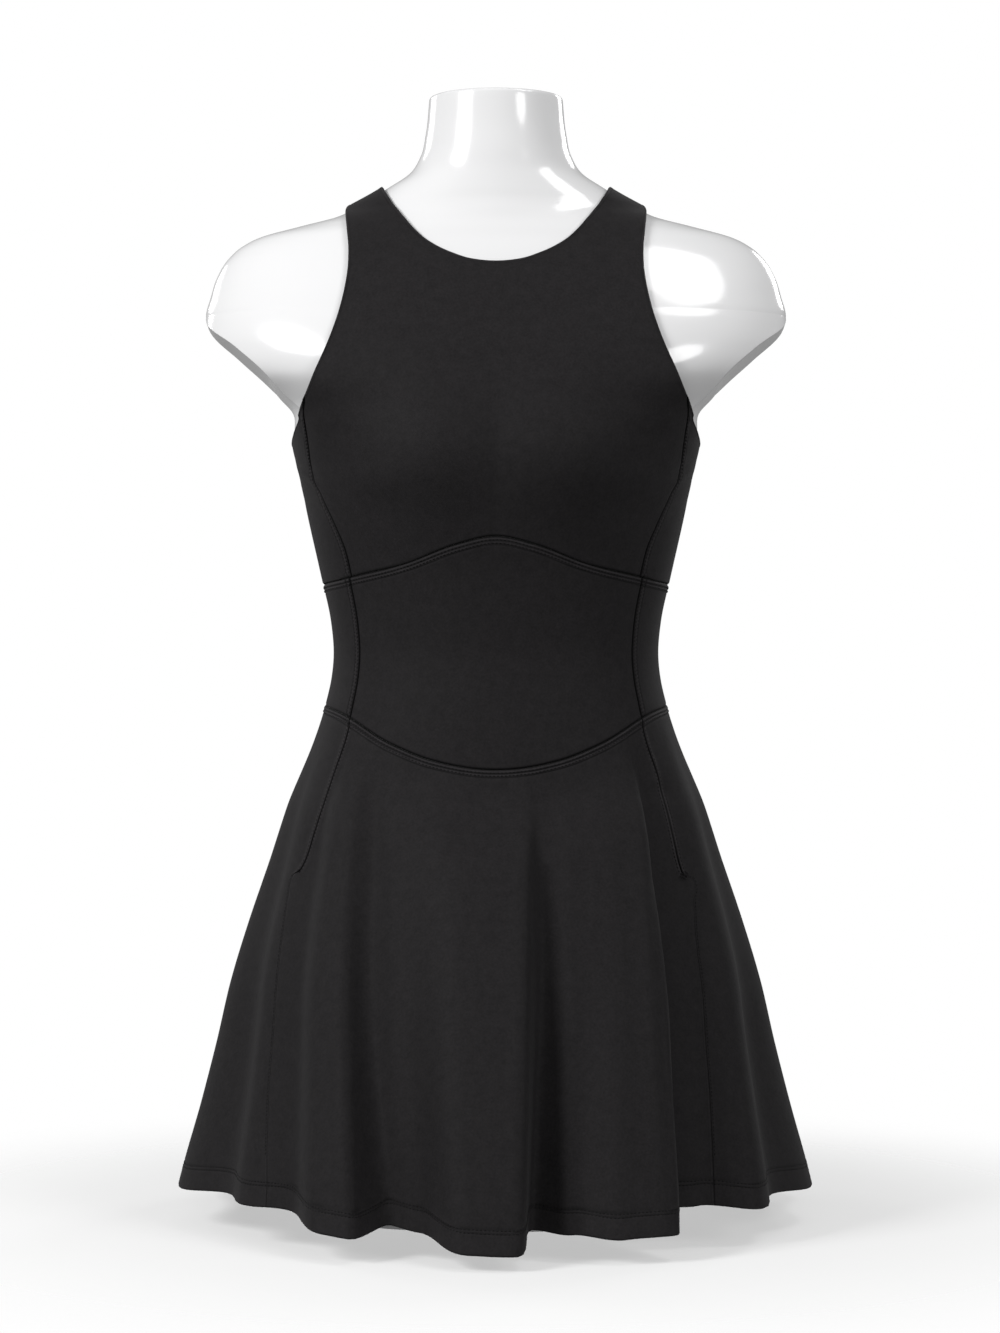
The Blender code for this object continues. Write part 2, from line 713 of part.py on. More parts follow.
def add_cloth(name, grid, outward_order, material, collection):
    """Thin wall of cloth outside a grid of points on its inner face."""
    grid = pull_in(grid, SEAM_GAP)
    if not outward_order:
        grid = grid[:, ::-1]
    rows, columns = grid.shape[:2]
    faces = grid_faces(rows, columns, False)
    obj = add_object(name, grid.reshape(-1, 3).tolist(), faces, material, collection)
    wall = obj.modifiers.new("wall", "SOLIDIFY")
    wall.thickness = WALL
    wall.offset = 1.0
    wall.use_rim = True
    wall.use_even_offset = False
    return obj


def add_form(material, collection):
    """Smooth limbless trunk as a loft of rings, flat at the base, the neck and the stumps."""
    heights = np.linspace(0, FORM_TOP - NECK_ROUND, FORM_STEPS)
    widths = body_value(1, heights)
    dense = 1 + DENSE_SHARE * np.exp(-((heights[1:] - DENSE_HEIGHT) / DENSE_REACH) ** 4)
    steps = np.hypot(np.diff(heights), np.diff(widths)) * dense
    length = np.concatenate([[0], np.cumsum(steps)])
    rows = np.interp(np.linspace(0, length[-1], FORM_ROWS + 1), length, heights)
    rows = np.append(rows, FORM_TOP)
    turns = np.linspace(-180, 180, FORM_COLUMNS, endpoint=False)
    grid = body_point(turns[None, :] + 0 * rows[:, None], rows[:, None] + 0 * turns[None, :])
    grid[-1, :, :2] *= 1 - NECK_ROUND / body_value(1, FORM_TOP)
    count = len(rows)
    faces = grid_faces(count, FORM_COLUMNS, True)
    faces.append(tuple(range(FORM_COLUMNS))[::-1])
    last = (count - 1) * FORM_COLUMNS
    faces.append(tuple(range(last, last + FORM_COLUMNS)))
    return add_object("dress_form", grid.reshape(-1, 3).tolist(), faces, material, collection)


def mirrored(grid):
    return grid * np.array([-1, 1, 1])


def main():
    for obj in list(bpy.data.objects):
        bpy.data.objects.remove(obj)
    collection = bpy.data.collections.new("tennis_dress")
    bpy.context.scene.collection.children.link(collection)
    fabric = fabric_material()
    back_start = 180 - SIDE_TURN
    back_end = 180 + SIDE_TURN

    side = side_panel()
    add_cloth("bodice_front", strap_panel(NECKLINE_FRONT, FRONT_COLUMNS, -1), False, fabric, collection)
    add_cloth("bodice_back", strap_panel(NECKLINE_BACK, BACK_COLUMNS, 1), True, fabric, collection)
    add_cloth("bodice_side_left", side, True, fabric, collection)
    add_cloth("bodice_side_right", mirrored(side), False, fabric, collection)

    midriff_side = midriff_panel(SIDE_TURN, back_start, SIDE_COLUMNS)
    add_cloth("midriff_front", midriff_panel(-SIDE_TURN, SIDE_TURN, FRONT_COLUMNS), True, fabric, collection)
    add_cloth("midriff_back", midriff_panel(back_start, back_end, BACK_COLUMNS), True, fabric, collection)
    add_cloth("midriff_side_left", midriff_side, True, fabric, collection)
    add_cloth("midriff_side_right", mirrored(midriff_side), False, fabric, collection)

    skirt_front = skirt_panel((-1, -1), (1, -1), FRONT_COLUMNS)
    skirt_left = skirt_panel((1, -1), (1, 1), SIDE_COLUMNS)
    skirt_back = skirt_panel((1, 1), (-1, 1), BACK_COLUMNS)
    skirt_right = skirt_panel((-1, 1), (-1, -1), SIDE_COLUMNS)
    add_cloth("skirt_front", skirt_front, False, fabric, collection)
    add_cloth("skirt_side_left", skirt_left, False, fabric, collection)
    add_cloth("skirt_back", skirt_back, False, fabric, collection)
    add_cloth("skirt_side_right", skirt_right, False, fabric, collection)

    add_form(form_material(), collection)


main()
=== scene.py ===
"""Looks of a sleeveless tennis dress on a limbless dress form.

Metres, +Z up. The front faces -Y and the wearer's left is +X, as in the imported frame.
A place on the body is given by its turn and its height. The turn runs from 0 at the
centre front over 90 at the wearer's left to 180 at the centre back, in degrees, and
is negative on the wearer's right.
"""
import math

import bpy
import numpy as np
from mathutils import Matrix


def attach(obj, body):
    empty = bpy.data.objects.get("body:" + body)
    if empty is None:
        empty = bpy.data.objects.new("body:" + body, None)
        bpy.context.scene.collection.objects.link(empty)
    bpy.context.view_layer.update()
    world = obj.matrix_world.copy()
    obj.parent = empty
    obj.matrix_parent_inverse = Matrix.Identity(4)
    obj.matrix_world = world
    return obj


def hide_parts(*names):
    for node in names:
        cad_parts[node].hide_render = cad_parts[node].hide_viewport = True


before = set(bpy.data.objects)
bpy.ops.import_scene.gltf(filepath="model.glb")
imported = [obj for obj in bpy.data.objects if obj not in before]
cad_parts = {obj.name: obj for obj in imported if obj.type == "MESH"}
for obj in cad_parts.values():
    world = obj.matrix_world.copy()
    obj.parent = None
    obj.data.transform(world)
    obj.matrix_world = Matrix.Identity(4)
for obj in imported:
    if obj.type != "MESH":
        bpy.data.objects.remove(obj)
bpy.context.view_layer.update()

# Cloth
WALL = 0.0016
LIFT = 0.0010
SHELL = 0.0008

# Columns: height, half_width, arm_half_width, front_depth, back_depth, roundness
BODY = (
    (0.000, 0.1330, 0.1330, 0.088, 0.094, 2.20),
    (0.080, 0.1420, 0.1420, 0.096, 0.102, 2.20),
    (0.150, 0.1495, 0.1495, 0.102, 0.109, 2.20),
    (0.220, 0.1535, 0.1535, 0.104, 0.113, 2.20),
    (0.260, 0.1495, 0.1495, 0.102, 0.109, 2.20),
    (0.313, 0.1365, 0.1365, 0.098, 0.098, 2.15),
    (0.366, 0.1212, 0.1212, 0.092, 0.081, 2.10),
    (0.385, 0.1168, 0.1168, 0.090, 0.076, 2.10),
    (0.403, 0.1150, 0.1150, 0.089, 0.073, 2.10),
    (0.427, 0.1168, 0.1168, 0.091, 0.074, 2.10),
    (0.462, 0.1243, 0.1243, 0.096, 0.079, 2.12),
    (0.497, 0.1322, 0.1322, 0.104, 0.085, 2.15),
    (0.532, 0.1397, 0.1397, 0.111, 0.090, 2.18),
    (0.549, 0.1433, 0.1433, 0.112, 0.093, 2.20),
    (0.561, 0.1450, 0.1450, 0.111, 0.095, 2.22),
    (0.575, 0.1488, 0.1510, 0.109, 0.096, 2.25),
    (0.590, 0.1552, 0.1740, 0.106, 0.096, 2.30),
    (0.604, 0.1682, 0.2000, 0.102, 0.096, 2.35),
    (0.622, 0.1885, 0.2110, 0.097, 0.095, 2.40),
    (0.6405, 0.2092, 0.2113, 0.090, 0.092, 2.40),
    (0.6475, 0.2106, 0.2106, 0.087, 0.090, 2.35),
    (0.662, 0.2070, 0.2070, 0.081, 0.086, 2.25),
    (0.677, 0.2019, 0.2019, 0.074, 0.081, 2.10),
    (0.691, 0.1929, 0.1929, 0.067, 0.075, 1.98),
    (0.6985, 0.1845, 0.1845, 0.063, 0.071, 1.92),
    (0.7057, 0.1704, 0.1704, 0.060, 0.068, 1.86),
    (0.713, 0.1435, 0.1435, 0.057, 0.065, 1.80),
    (0.720, 0.1165, 0.1165, 0.055, 0.063, 1.78),
    (0.7275, 0.1020, 0.1020, 0.053, 0.061, 1.80),
    (0.735, 0.0885, 0.0885, 0.052, 0.060, 1.85),
    (0.742, 0.0770, 0.0770, 0.051, 0.059, 1.90),
    (0.750, 0.0645, 0.0645, 0.050, 0.057, 1.95),
    (0.764, 0.0548, 0.0548, 0.049, 0.053, 2.00),
    (0.780, 0.0510, 0.0510, 0.0475, 0.0505, 2.00),
    (0.807, 0.0482, 0.0482, 0.0465, 0.0490, 2.00),
)
FORM_TOP = 0.807
NECK_ROUND = 0.0025

# Flat cut of the arm stumps
STUMP_TIP = 0.6475
STUMP_FLAT_TOP = 0.6465
STUMP_FLAT_END = 0.602
STUMP_FADE_END = 0.562
STUMP_EASE = 0.026
STUMP_TURN = 0.055
STUMP_PIVOT = 0.44
STUMP_LEAN_START = 0.692
STUMP_LEAN_FULL = 0.622
CORNER_TURN = 60.0
CORNER_SHARE = 0.999
TIP_SHARE = 0.985
NEARLY_ONE = 0.9999

# Two soft crowns of the bust
BUST_RISE = 0.013
BUST_OUT = 0.054
BUST_WIDTH = 0.050
BUST_HEIGHT = 0.540
BUST_ABOVE = 0.058
BUST_BELOW = 0.042

# Seams round the body, columns: turn, height
UNDERBUST = (
    (0, 0.4860),
    (10, 0.4812),
    (27, 0.4685),
    (54.8, 0.4585),
    (90, 0.4540),
    (180, 0.4530),
)
WAIST = (
    (0, 0.3227),
    (17, 0.3285),
    (32, 0.3394),
    (54.8, 0.3580),
    (90, 0.3670),
    (180, 0.3700),
)
SIDE_TURN = 54.8

# Front edges and seams of the bodice, columns: half_width, height
PRINCESS = (
    (0.1004, 0.4590),
    (0.1050, 0.4785),
    (0.1125, 0.4965),
    (0.1230, 0.5190),
    (0.1285, 0.5325),
    (0.1300, 0.5490),
    (0.1310, 0.5690),
    (0.1313, 0.5885),
)
ARMHOLE = (
    (0.1313, 0.5885),
    (0.1236, 0.6060),
    (0.1168, 0.6225),
    (0.1110, 0.6395),
    (0.1070, 0.6560),
    (0.1045, 0.6720),
    (0.1040, 0.6880),
    (0.1054, 0.7030),
    (0.1072, 0.7155),
    (0.1077, 0.7200),
)
NECKLINE_FRONT = (
    (0.0765, 0.7310),
    (0.0660, 0.7145),
    (0.0570, 0.7035),
    (0.0465, 0.6940),
    (0.0320, 0.6863),
    (0.0160, 0.6810),
    (0.0040, 0.6796),
    (0.0000, 0.6795),
)
NECKLINE_BACK = (
    (0.0765, 0.7330),
    (0.0680, 0.7130),
    (0.0590, 0.6960),
    (0.0460, 0.6810),
    (0.0300, 0.6710),
    (0.0150, 0.6663),
    (0.0040, 0.6651),
    (0.0000, 0.6650),
)
STRAP_OUTER = 0.1050
STRAP_INNER = 0.0812
STRAP_RISE = 0.0004
STRAP_LIFT = 0.0006
STRAP_LIFT_START = 0.5
STRAP_LIFT_FULL = 0.8
STRAP_RISE_START = 0.72
STRAP_REACH = 1.2
RIDGE_LOW = 0.700
RIDGE_HIGH = 0.745
RIDGE_STEPS = 91

# Cloth spans the hollow of the armpit
SPAN_LIFT = 0.0042
SPAN_HEIGHT = 0.588
SPAN_REACH = 0.026
SPAN_TURN = 15.0
ARMHOLE_LOW = 0.5560
ARMHOLE_POWER = 1.6
UNROLL_FLOOR = 0.400

# The cloth is drawn straight over the hollow below the arm
DRAWN_FORWARD = 0.008
DRAWN_X = 0.126
DRAWN_WIDE = 0.030
DRAWN_HEIGHT = 0.574
DRAWN_TALL = 0.024
DRAWN_START = -0.01
DRAWN_FULL = 0.05

# Skirt sections, columns: height, half_width, front_depth, back_depth
SKIRT = (
    (0.0085, 0.2288, 0.2290, 0.2200),
    (0.039, 0.2213, 0.2210, 0.2130),
    (0.0825, 0.2090, 0.2070, 0.1990),
    (0.126, 0.1979, 0.1910, 0.1830),
    (0.1695, 0.1881, 0.1740, 0.1660),
    (0.213, 0.1752, 0.1550, 0.1490),
    (0.2565, 0.1607, 0.1350, 0.1330),
    (0.300, 0.1469, 0.1160, 0.1140),
    (0.3145, 0.1417, 0.1090, 0.1070),
    (0.3406, 0.1320, 0.1000, 0.0960),
    (0.355, 0.1275, 0.0970, 0.0900),
    (0.372, 0.1225, 0.0940, 0.0840),
)
SKIRT_ROUNDNESS = 2.05
SKIRT_FREE = 0.22
FOLD_FREE = 0.21
BACK_SEAM_TURN = 3.0

# Hem, columns: turn, height
HEM = (
    (0, 0.0134),
    (14, 0.0160),
    (27, 0.0205),
    (45, 0.0262),
    (65, 0.0272),
    (90, 0.0270),
    (180, 0.0230),
)

# The hem drops where a fold stands out, as a share of how far it does
HEM_SWAY = 0.22

# Side-front seams of the skirt, columns: height, turn on the wearer's right, turn on the left
POCKET_SEAM = (
    (0.0235, 45.0, 43.8),
    (0.0400, 45.9, 44.6),
    (0.0700, 48.3, 46.3),
    (0.1020, 50.7, 48.1),
    (0.1600, 54.0, 51.0),
    (0.2170, 58.4, 54.4),
    (0.2300, 59.6, 55.8),
    (0.2420, 60.6, 57.6),
    (0.2455, 60.3, 57.3),
    (0.2490, 58.1, 55.2),
    (0.2520, 57.6, 55.1),
    (0.2764, 56.2, 55.5),
    (0.2930, 55.5, 55.6),
    (0.3220, 54.6, 54.9),
    (0.3440, 53.7, 53.7),
    (0.3515, 53.8, 53.8),
    (0.3580, 54.8, 54.8),
)

# Ridges and valleys, columns: turn at the waist, turn at the hem, outward and sideways
# at the hem, and how late the fold grows on the way down
FOLDS = (
    (-168, -167, 0.011, -0.004, 1.3),
    (-153, -152, -0.015, 0.000, 1.3),
    (-138, -137, 0.012, -0.004, 1.3),
    (-122, -121, -0.015, 0.000, 1.2),
    (-108, -106, 0.009, -0.003, 1.2),
    (-97, -91, -0.005, 0.000, 1.2),
    (-86, -76, 0.005, 0.000, 1.2),
    (-76, -60, -0.012, 0.000, 1.1),
    (-69, -51, -0.003, 0.000, 1.0),
    (-58, -40, -0.011, 0.000, 1.0),
    (-49, -28.5, 0.010, 0.000, 1.0),
    (-44, -24.5, 0.011, 0.004, 0.9),
    (-37, -18.5, -0.022, -0.004, 0.9),
    (-29, -13.5, -0.016, 0.000, 1.0),
    (-8, -4.0, 0.014, 0.000, 0.8),
    (6, 1.5, 0.016, 0.005, 0.8),
    (14, 8.0, -0.026, -0.005, 0.9),
    (21, 13.0, -0.012, 0.000, 0.9),
    (33, 21.0, 0.007, 0.000, 0.8),
    (41.5, 28.0, 0.012, 0.007, 0.7),
    (49.5, 34.5, -0.028, -0.006, 0.7),
    (57, 41.0, -0.018, 0.000, 0.9),
    (70, 51, 0.006, 0.003, 0.9),
    (80, 62, -0.008, 0.000, 1.2),
    (88, 76, 0.004, 0.000, 1.2),
    (98, 91, -0.005, 0.000, 1.2),
    (109, 105, 0.010, 0.003, 1.2),
    (122, 120, -0.015, 0.000, 1.2),
    (138, 136, 0.012, 0.005, 1.3),
    (152, 151, -0.015, 0.000, 1.3),
    (166, 165, 0.010, 0.003, 1.3),
    (180, 179, -0.013, 0.000, 1.3),
)

# Steps of the fine grids
CELL = 0.0030
FORM_CELL = 0.0026
STUMP_ROWS = (STUMP_FLAT_TOP - 0.005, STUMP_TIP + 0.004, 0.0004)
FORM_STEPS = 900
FORM_TURNS = 240
CORNER_TURNS = (-0.9, -0.4, 0.0, 0.3, 0.8)
RIM_SHARES = (0.15, 1, 6)
PROBE = 0.0004
PROBE_TURN = 0.2
TURN_ROUNDS = 8
SOLVE_ROUNDS = 12
SOLVE_START = 0.5
BLOCK = 4000
FINE_STEPS = 400
SIDE_HOLD = 2.0

# Rows and columns beside a seam and the hem, in millimetres
NEAR_SEAM = (0, 0.35, 0.7, 1.1, 1.6, 2.1, 2.6, 3.1, 3.6, 4.1, 4.6, 5.1, 5.6, 6.1, 6.7, 7.6, 9.0)
NEAR_HEM = (0, 0.4, 0.9, 1.8, 4.0, 7.0, 10.0, 12.6, 14.0, 14.8, 15.6, 16.4, 17.2, 18.2, 20.0, 23.0)
MILLIMETRE = 0.001
PER_METRE = 1000

# Relief beside a seam or edge, columns: distance, outward, in millimetres
PLAIN_SEAM = ((0, -1.25), (0.35, -0.80), (0.7, -0.42), (1.1, -0.20), (1.6, -0.06), (2.3, 0), (3.0, 0))
BAND_SEAM = ((0, -1.25), (0.35, -0.70), (0.7, -0.15), (1.1, 0.22), (1.6, 0.38), (2.1, 0.32), (2.6, 0.05),
             (3.1, -0.28), (3.6, 0.05), (4.1, 0.30), (4.6, 0.34), (5.1, 0.12), (5.6, -0.30), (6.1, -0.10),
             (6.7, 0.06), (7.6, 0.02), (9.0, 0))
NARROW_BAND = ((0, -1.25), (0.35, -0.70), (0.7, -0.15), (1.1, 0.20), (1.6, 0.25), (2.1, 0.02), (2.6, 0.20),
               (3.1, 0.30), (3.6, 0.26), (4.1, 0.0), (4.6, -0.25), (5.1, -0.02), (5.6, 0.03), (6.1, 0))
SKIRT_SEAM = ((0, -0.10), (0.35, -0.06), (0.7, 0.04), (1.1, 0.10), (1.6, -0.08), (2.1, 0.04), (2.6, 0))
POCKET_EDGE = ((0, -1.30), (0.35, -0.60), (0.7, 0.05), (1.1, 0.38), (1.6, 0.42), (2.3, 0.30), (3.0, 0.02),
               (3.6, 0.10), (4.2, 0.06), (4.8, 0))
ROLLED_EDGE = ((0, -0.95), (0.35, -0.35), (0.7, 0.02), (1.1, 0.22), (1.6, 0.22), (2.3, -0.14), (3.0, -0.02),
               (3.6, 0))
HEM_EDGE = ((0, -0.60), (0.4, -0.20), (0.9, 0.0), (1.8, 0.03), (4.0, 0.03), (10.0, 0.03), (12.6, 0.03),
            (14.0, 0.08), (14.8, -0.24), (15.6, 0.08), (16.4, 0.06), (17.2, -0.24), (18.2, 0.02), (20.0, 0))

# Soft creases, columns: x and height of both ends, width, outward depth, face (-1 front,
# 1 back). The pairs are there on both sides.
CREASE_PAIRS = (
    (0.1410, 0.5460, 0.1250, 0.5270, 0.0034, -0.0011, -1),
    (0.1400, 0.5400, 0.1230, 0.5205, 0.0030, 0.0011, -1),
    (0.1395, 0.5340, 0.1220, 0.5140, 0.0034, -0.0010, -1),
    (0.1370, 0.5200, 0.1200, 0.5010, 0.0040, -0.0007, -1),
    (0.1290, 0.5460, 0.1100, 0.5300, 0.0050, -0.0008, 1),
)
CREASES = (
    (-0.0980, 0.5080, -0.0540, 0.5030, 0.0130, -0.0012, -1),
    (0.0700, 0.5030, 0.1090, 0.5090, 0.0130, -0.0012, -1),
    (-0.1050, 0.5300, -0.0600, 0.5240, 0.0110, 0.0009, -1),
    (0.0760, 0.5240, 0.1160, 0.5310, 0.0110, 0.0009, -1),
    (-0.1150, 0.4340, -0.0900, 0.4270, 0.0050, -0.0006, -1),
    (-0.1130, 0.4240, -0.0920, 0.4180, 0.0050, 0.0006, -1),
    (0.0900, 0.4270, 0.1150, 0.4340, 0.0050, -0.0006, -1),
    (0.0920, 0.4180, 0.1130, 0.4240, 0.0050, 0.0006, -1),
) + CREASE_PAIRS + tuple((-x0, z0, -x1, z1, *rest) for x0, z0, x1, z1, *rest in CREASE_PAIRS)

# Folds sharpened where the skirt hangs free of the form, with the same columns
SKIRT_CREASES = (
    (0.0350, 0.2950, 0.0265, -0.0500, 0.0100, -0.0068, -1),
    (0.0215, 0.2850, 0.0175, -0.0500, 0.0080, 0.0024, -1),
    (0.1140, 0.3030, 0.1250, -0.0500, 0.0090, -0.0070, -1),
    (0.1010, 0.2950, 0.1160, -0.0500, 0.0080, 0.0024, -1),
    (-0.0890, 0.3000, -0.0800, -0.0500, 0.0100, -0.0060, -1),
    (-0.1010, 0.2900, -0.0930, -0.0500, 0.0070, 0.0014, -1),
    (-0.1640, 0.1700, -0.1750, -0.0500, 0.0120, -0.0026, -1),
    (0.1700, 0.1700, 0.1800, -0.0500, 0.0120, -0.0026, -1),
    (-0.0520, 0.2300, -0.0520, -0.0500, 0.0140, -0.0018, -1),
    (0.0300, 0.2950, 0.0330, -0.0500, 0.0090, -0.0044, 1),
    (-0.0500, 0.2950, -0.0540, -0.0500, 0.0100, -0.0046, 1),
    (-0.1120, 0.2800, -0.1240, -0.0500, 0.0090, -0.0040, 1),
    (0.1080, 0.2800, 0.1200, -0.0500, 0.0100, -0.0040, 1),
)
CREASE_ENDS = 0.02
CREASE_POWER = 0.5
CREASE_START = -0.035
CREASE_FULL = 0.015

# The outer surface stays this far outside the solid's inner face
THINNEST = 0.00035

# Lengths and shares used by panels that are sewn together, so that their seams meet point by point
PRINCESS_LENGTH = 0.142
ARMHOLE_LENGTH = 0.150
STRAP_WIDTH = 0.0275
NECK_LENGTH = 0.125
SIDE_LENGTH = 0.110
MIDRIFF_LENGTH = 0.100
SKIRT_LENGTH = 0.370
PRINCESS_SHARE = 8 / 19
FRONT_STRAP_SHARE = 3 / 30
BACK_STRAP_SHARE = 3 / 24

# Stitches: pitch along a row, and half lengths of one stitch
STITCH_PITCH = 0.0027
STITCH_LONG = 0.00105
STITCH_WIDE = 0.00034
STITCH_HIGH = 0.00022
STITCH_LIFT = 0.00008
STITCH_SIDES = 5

# Distances of the stitch rows from a seam, an edge or the hem, and how many grid rows
# the skirt's seam stitches leave free at the waist and at the hem
BAND_ROWS = (0.0031, 0.0056)
HEM_ROWS = (0.0148, 0.0172)
NARROW_ROWS = (0.0021, 0.0046)
POCKET_ROW = 0.0026
SEAM_ROW = 0.0016
NEAR_END = 8
HEM_END = -20

# Foot of the pocket mouths, and the bar tacks across it
POCKET_FOOT = 0.2500
TACK_ROWS = 2
TACK_PITCH = 0.0011
TACK_HALF = 0.0034
TACK_LIFT = 0.0006

# Looks; a tone is a position on the ramp and a colour
KNIT_ROUGHNESS = 0.70
KNIT_SPECULAR = 0.12
KNIT_SHEEN = 0.04
KNIT_SHEEN_ROUGHNESS = 0.45
WHITE = (1.0, 1.0, 1.0, 1.0)
KNIT_TONES = ((0.32, (0.0097, 0.0089, 0.0095, 1.0)), (0.68, (0.0171, 0.0157, 0.0167, 1.0)))

# Noises, columns: scale, detail, roughness
KNIT_BLOTCH = (150.0, 3.0, 0.6)
KNIT_GRAIN = (620.0, 2.0, 0.6)
THREAD_FIBRES = (2500.0, 1.0, 0.5)
GLOSS_CLOUD = (9.0, 2.0, 0.5)
GLOSS_PEEL = (160.0, 1.0, 0.5)

KNIT_BLEND = 0.58
KNIT_WAVER = 0.6
WALE_SCALE = 420.0
COURSE_SCALE = 360.0
KNIT_BUMP = 0.35
KNIT_BUMP_HEIGHT = 0.0002
# Thread colour darker than the jersey: partly the thread's own charcoal, partly painted shade standing in
# for the shadowed stitch holes
THREAD_AND_HOLE_SHADE_COLOUR = (0.0050, 0.0047, 0.0050)
THREAD_SHADES = ((0.0, 0.8), (1.0, 1.2))
THREAD_ROUGHNESS = 0.55
THREAD_SPECULAR = 0.12
GLOSS_TONES = ((0.0, (0.82, 0.82, 0.825, 1.0)), (1.0, (0.85, 0.85, 0.855, 1.0)))
GLOSS_ROUGHNESS = 0.16
GLOSS_COAT = 0.35
GLOSS_COAT_ROUGHNESS = 0.06
GLOSS_BUMP = 0.02
GLOSS_BUMP_HEIGHT = 0.0002

# Painted shade makes the jersey darker in a dip and a painted highlight makes it lighter on a welt; the
# rises are in millimetres
RISE_LOW = -0.30
RISE_HIGH = 0.38
PAINTED_DIP_SHADE = 0.25
PAINTED_WELT_HIGHLIGHT = 1.95

# Light, floor and camera
AMBIENT = 0.27
FLOOR_CLEAR = 0.26
FLOOR_THIN = 0.5
FLOOR_END = 0.60
FLOOR_SIZE = 40.0
FLOOR_COLOUR = (0.93, 0.93, 0.93, 1.0)
FLOOR_ROUGHNESS = 0.9
FLOOR_SPECULAR = 0.1
CAMERA_LENS = 89.4
CAMERA_SENSOR = 36.0
CAMERA_PLACE = (0.0029, -2.4, 0.395)
TARGET = (0.0, 0.0, 0.42)
SHOULDER = (0.15, 0.0, 0.64)

# Lights, columns: name, place, aim, size, power
LIGHTS = (
    ("key_left", (-1.50, -1.20, 1.40), TARGET, 0.8, 33),
    ("fill_right", (1.35, -1.55, 1.05), TARGET, 0.7, 9),
    ("top_right", (0.75, -0.45, 1.75), SHOULDER, 0.6, 5),
    ("back_left", (-1.9, 1.9, 1.5), TARGET, 0.9, 10),
    ("back_right", (1.6, 2.1, 1.7), TARGET, 1.0, 14),
)


def lengths_along(points):
    """Length of a line from its first point to each of its points."""
    return np.concatenate([[0], np.cumsum(np.linalg.norm(np.diff(points, axis=0), axis=1))])


def at_lengths(length, table, at):
    """Straight mixes of a table's rows at lengths along the line that they follow."""
    return np.stack([np.interp(at, length, values) for values in table.T], axis=-1)


def share_at(points, shares):
    """Places at the given shares of a smooth curve's length."""
    points = np.array(points, dtype=float)
    length = lengths_along(points)
    return np.stack([through(length, values, shares * length[-1]) for values in points.T], axis=-1)


def even(domain, shares, face):
    """Places at shares of the real length of a line given by its side distance and climb."""
    fine = share_at(domain, np.linspace(0, 1, FINE_STEPS + 1))
    length = lengths_along(over_shoulder(fine[:, 0], fine[:, 1], face))
    return at_lengths(length, fine, shares * length[-1])


def between(bottom, top, left, right, u, v):
    """Grid between four sides; the bend of the left and right sides dies away inward."""
    u = u[None, :, None]
    v = v[:, None, None]
    left_bend = left[:, None] - ((1 - v) * left[0] + v * left[-1])
    right_bend = right[:, None] - ((1 - v) * right[0] + v * right[-1])
    ruled = (1 - v) * bottom[None] + v * top[None]
    return ruled + (1 - u) ** SIDE_HOLD * left_bend + u ** SIDE_HOLD * right_bend


def with_climb(table):
    return [(x, float(climb_at(x, height))) for x, height in table]


def spaced(length, start=(0,), end=(0,)):
    """Shares of a side of that length, fine beside a seam and one cell apart elsewhere."""
    first = np.array(start) * MILLIMETRE / length
    last = 1 - np.array(end)[::-1] * MILLIMETRE / length
    count = max(1, round((last[0] - first[-1]) * length / CELL))
    return np.concatenate([first, np.linspace(first[-1], last[0], count + 1)[1:-1], last])


def seam_heights(table, turn):
    """Height of a seam at a turn, level where it crosses the centre front."""
    turns = column(table, 0)
    heights = column(table, 1)
    turns = np.concatenate([[-turns[1]], turns])
    heights = np.concatenate([[heights[1]], heights])
    return through(turns, heights, np.abs(turn))


def princess_line(rows):
    """Turn and height of the front princess seam of the wearer's left, at shares of it."""
    places = share_at(PRINCESS, rows)
    turn = turn_at(places[:, 0], places[:, 1])
    height = places[:, 1].copy()
    turn[0] = SIDE_TURN
    height[0] = seam_heights(UNDERBUST, SIDE_TURN)
    return turn, height


def column(table, index):
    return np.array([row[index] for row in table], dtype=float)


def through(xs, ys, at):
    """Height of a smooth curve through the points xs, ys, with level ends."""
    at = np.clip(np.asarray(at, dtype=float), xs[0], xs[-1])
    slopes = np.gradient(ys, xs)
    cell = np.clip(np.searchsorted(xs, at, side="right") - 1, 0, len(xs) - 2)
    step = xs[cell + 1] - xs[cell]
    s = (at - xs[cell]) / step
    return (
        ys[cell] * (1 + 2 * s) * (1 - s) ** 2
        + ys[cell + 1] * s ** 2 * (3 - 2 * s)
        + slopes[cell] * step * s * (1 - s) ** 2
        - slopes[cell + 1] * step * s ** 2 * (1 - s)
    )


def ramp(value, start, end):
    """Smooth step from 0 at start to 1 at end."""
    s = np.clip((value - start) / (end - start), 0.0, 1.0)
    return s * s * (3 - 2 * s)


def mix(a, b, share):
    return a + (b - a) * share


def wrap(turn):
    """The same turn between -180 and 180."""
    return (turn + 180) % 360 - 180


BODY_HEIGHTS = column(BODY, 0)


def body_value(index, height):
    return through(BODY_HEIGHTS, column(BODY, index), height)


def stump_flatness(height):
    """1 where the stump's cut is flat, 0 above its tip and below the armpit."""
    below = 1 - ramp(height, STUMP_FLAT_TOP, STUMP_TIP)
    return below * ramp(height, STUMP_FADE_END, STUMP_FLAT_END)


def stump_lean(height):
    """How far the stump turns to the front, easing out above its tip and below the armpit."""
    below = 1 - ramp(height, STUMP_LEAN_FULL, STUMP_LEAN_START)
    return below * ramp(height, STUMP_FADE_END, STUMP_FLAT_END)


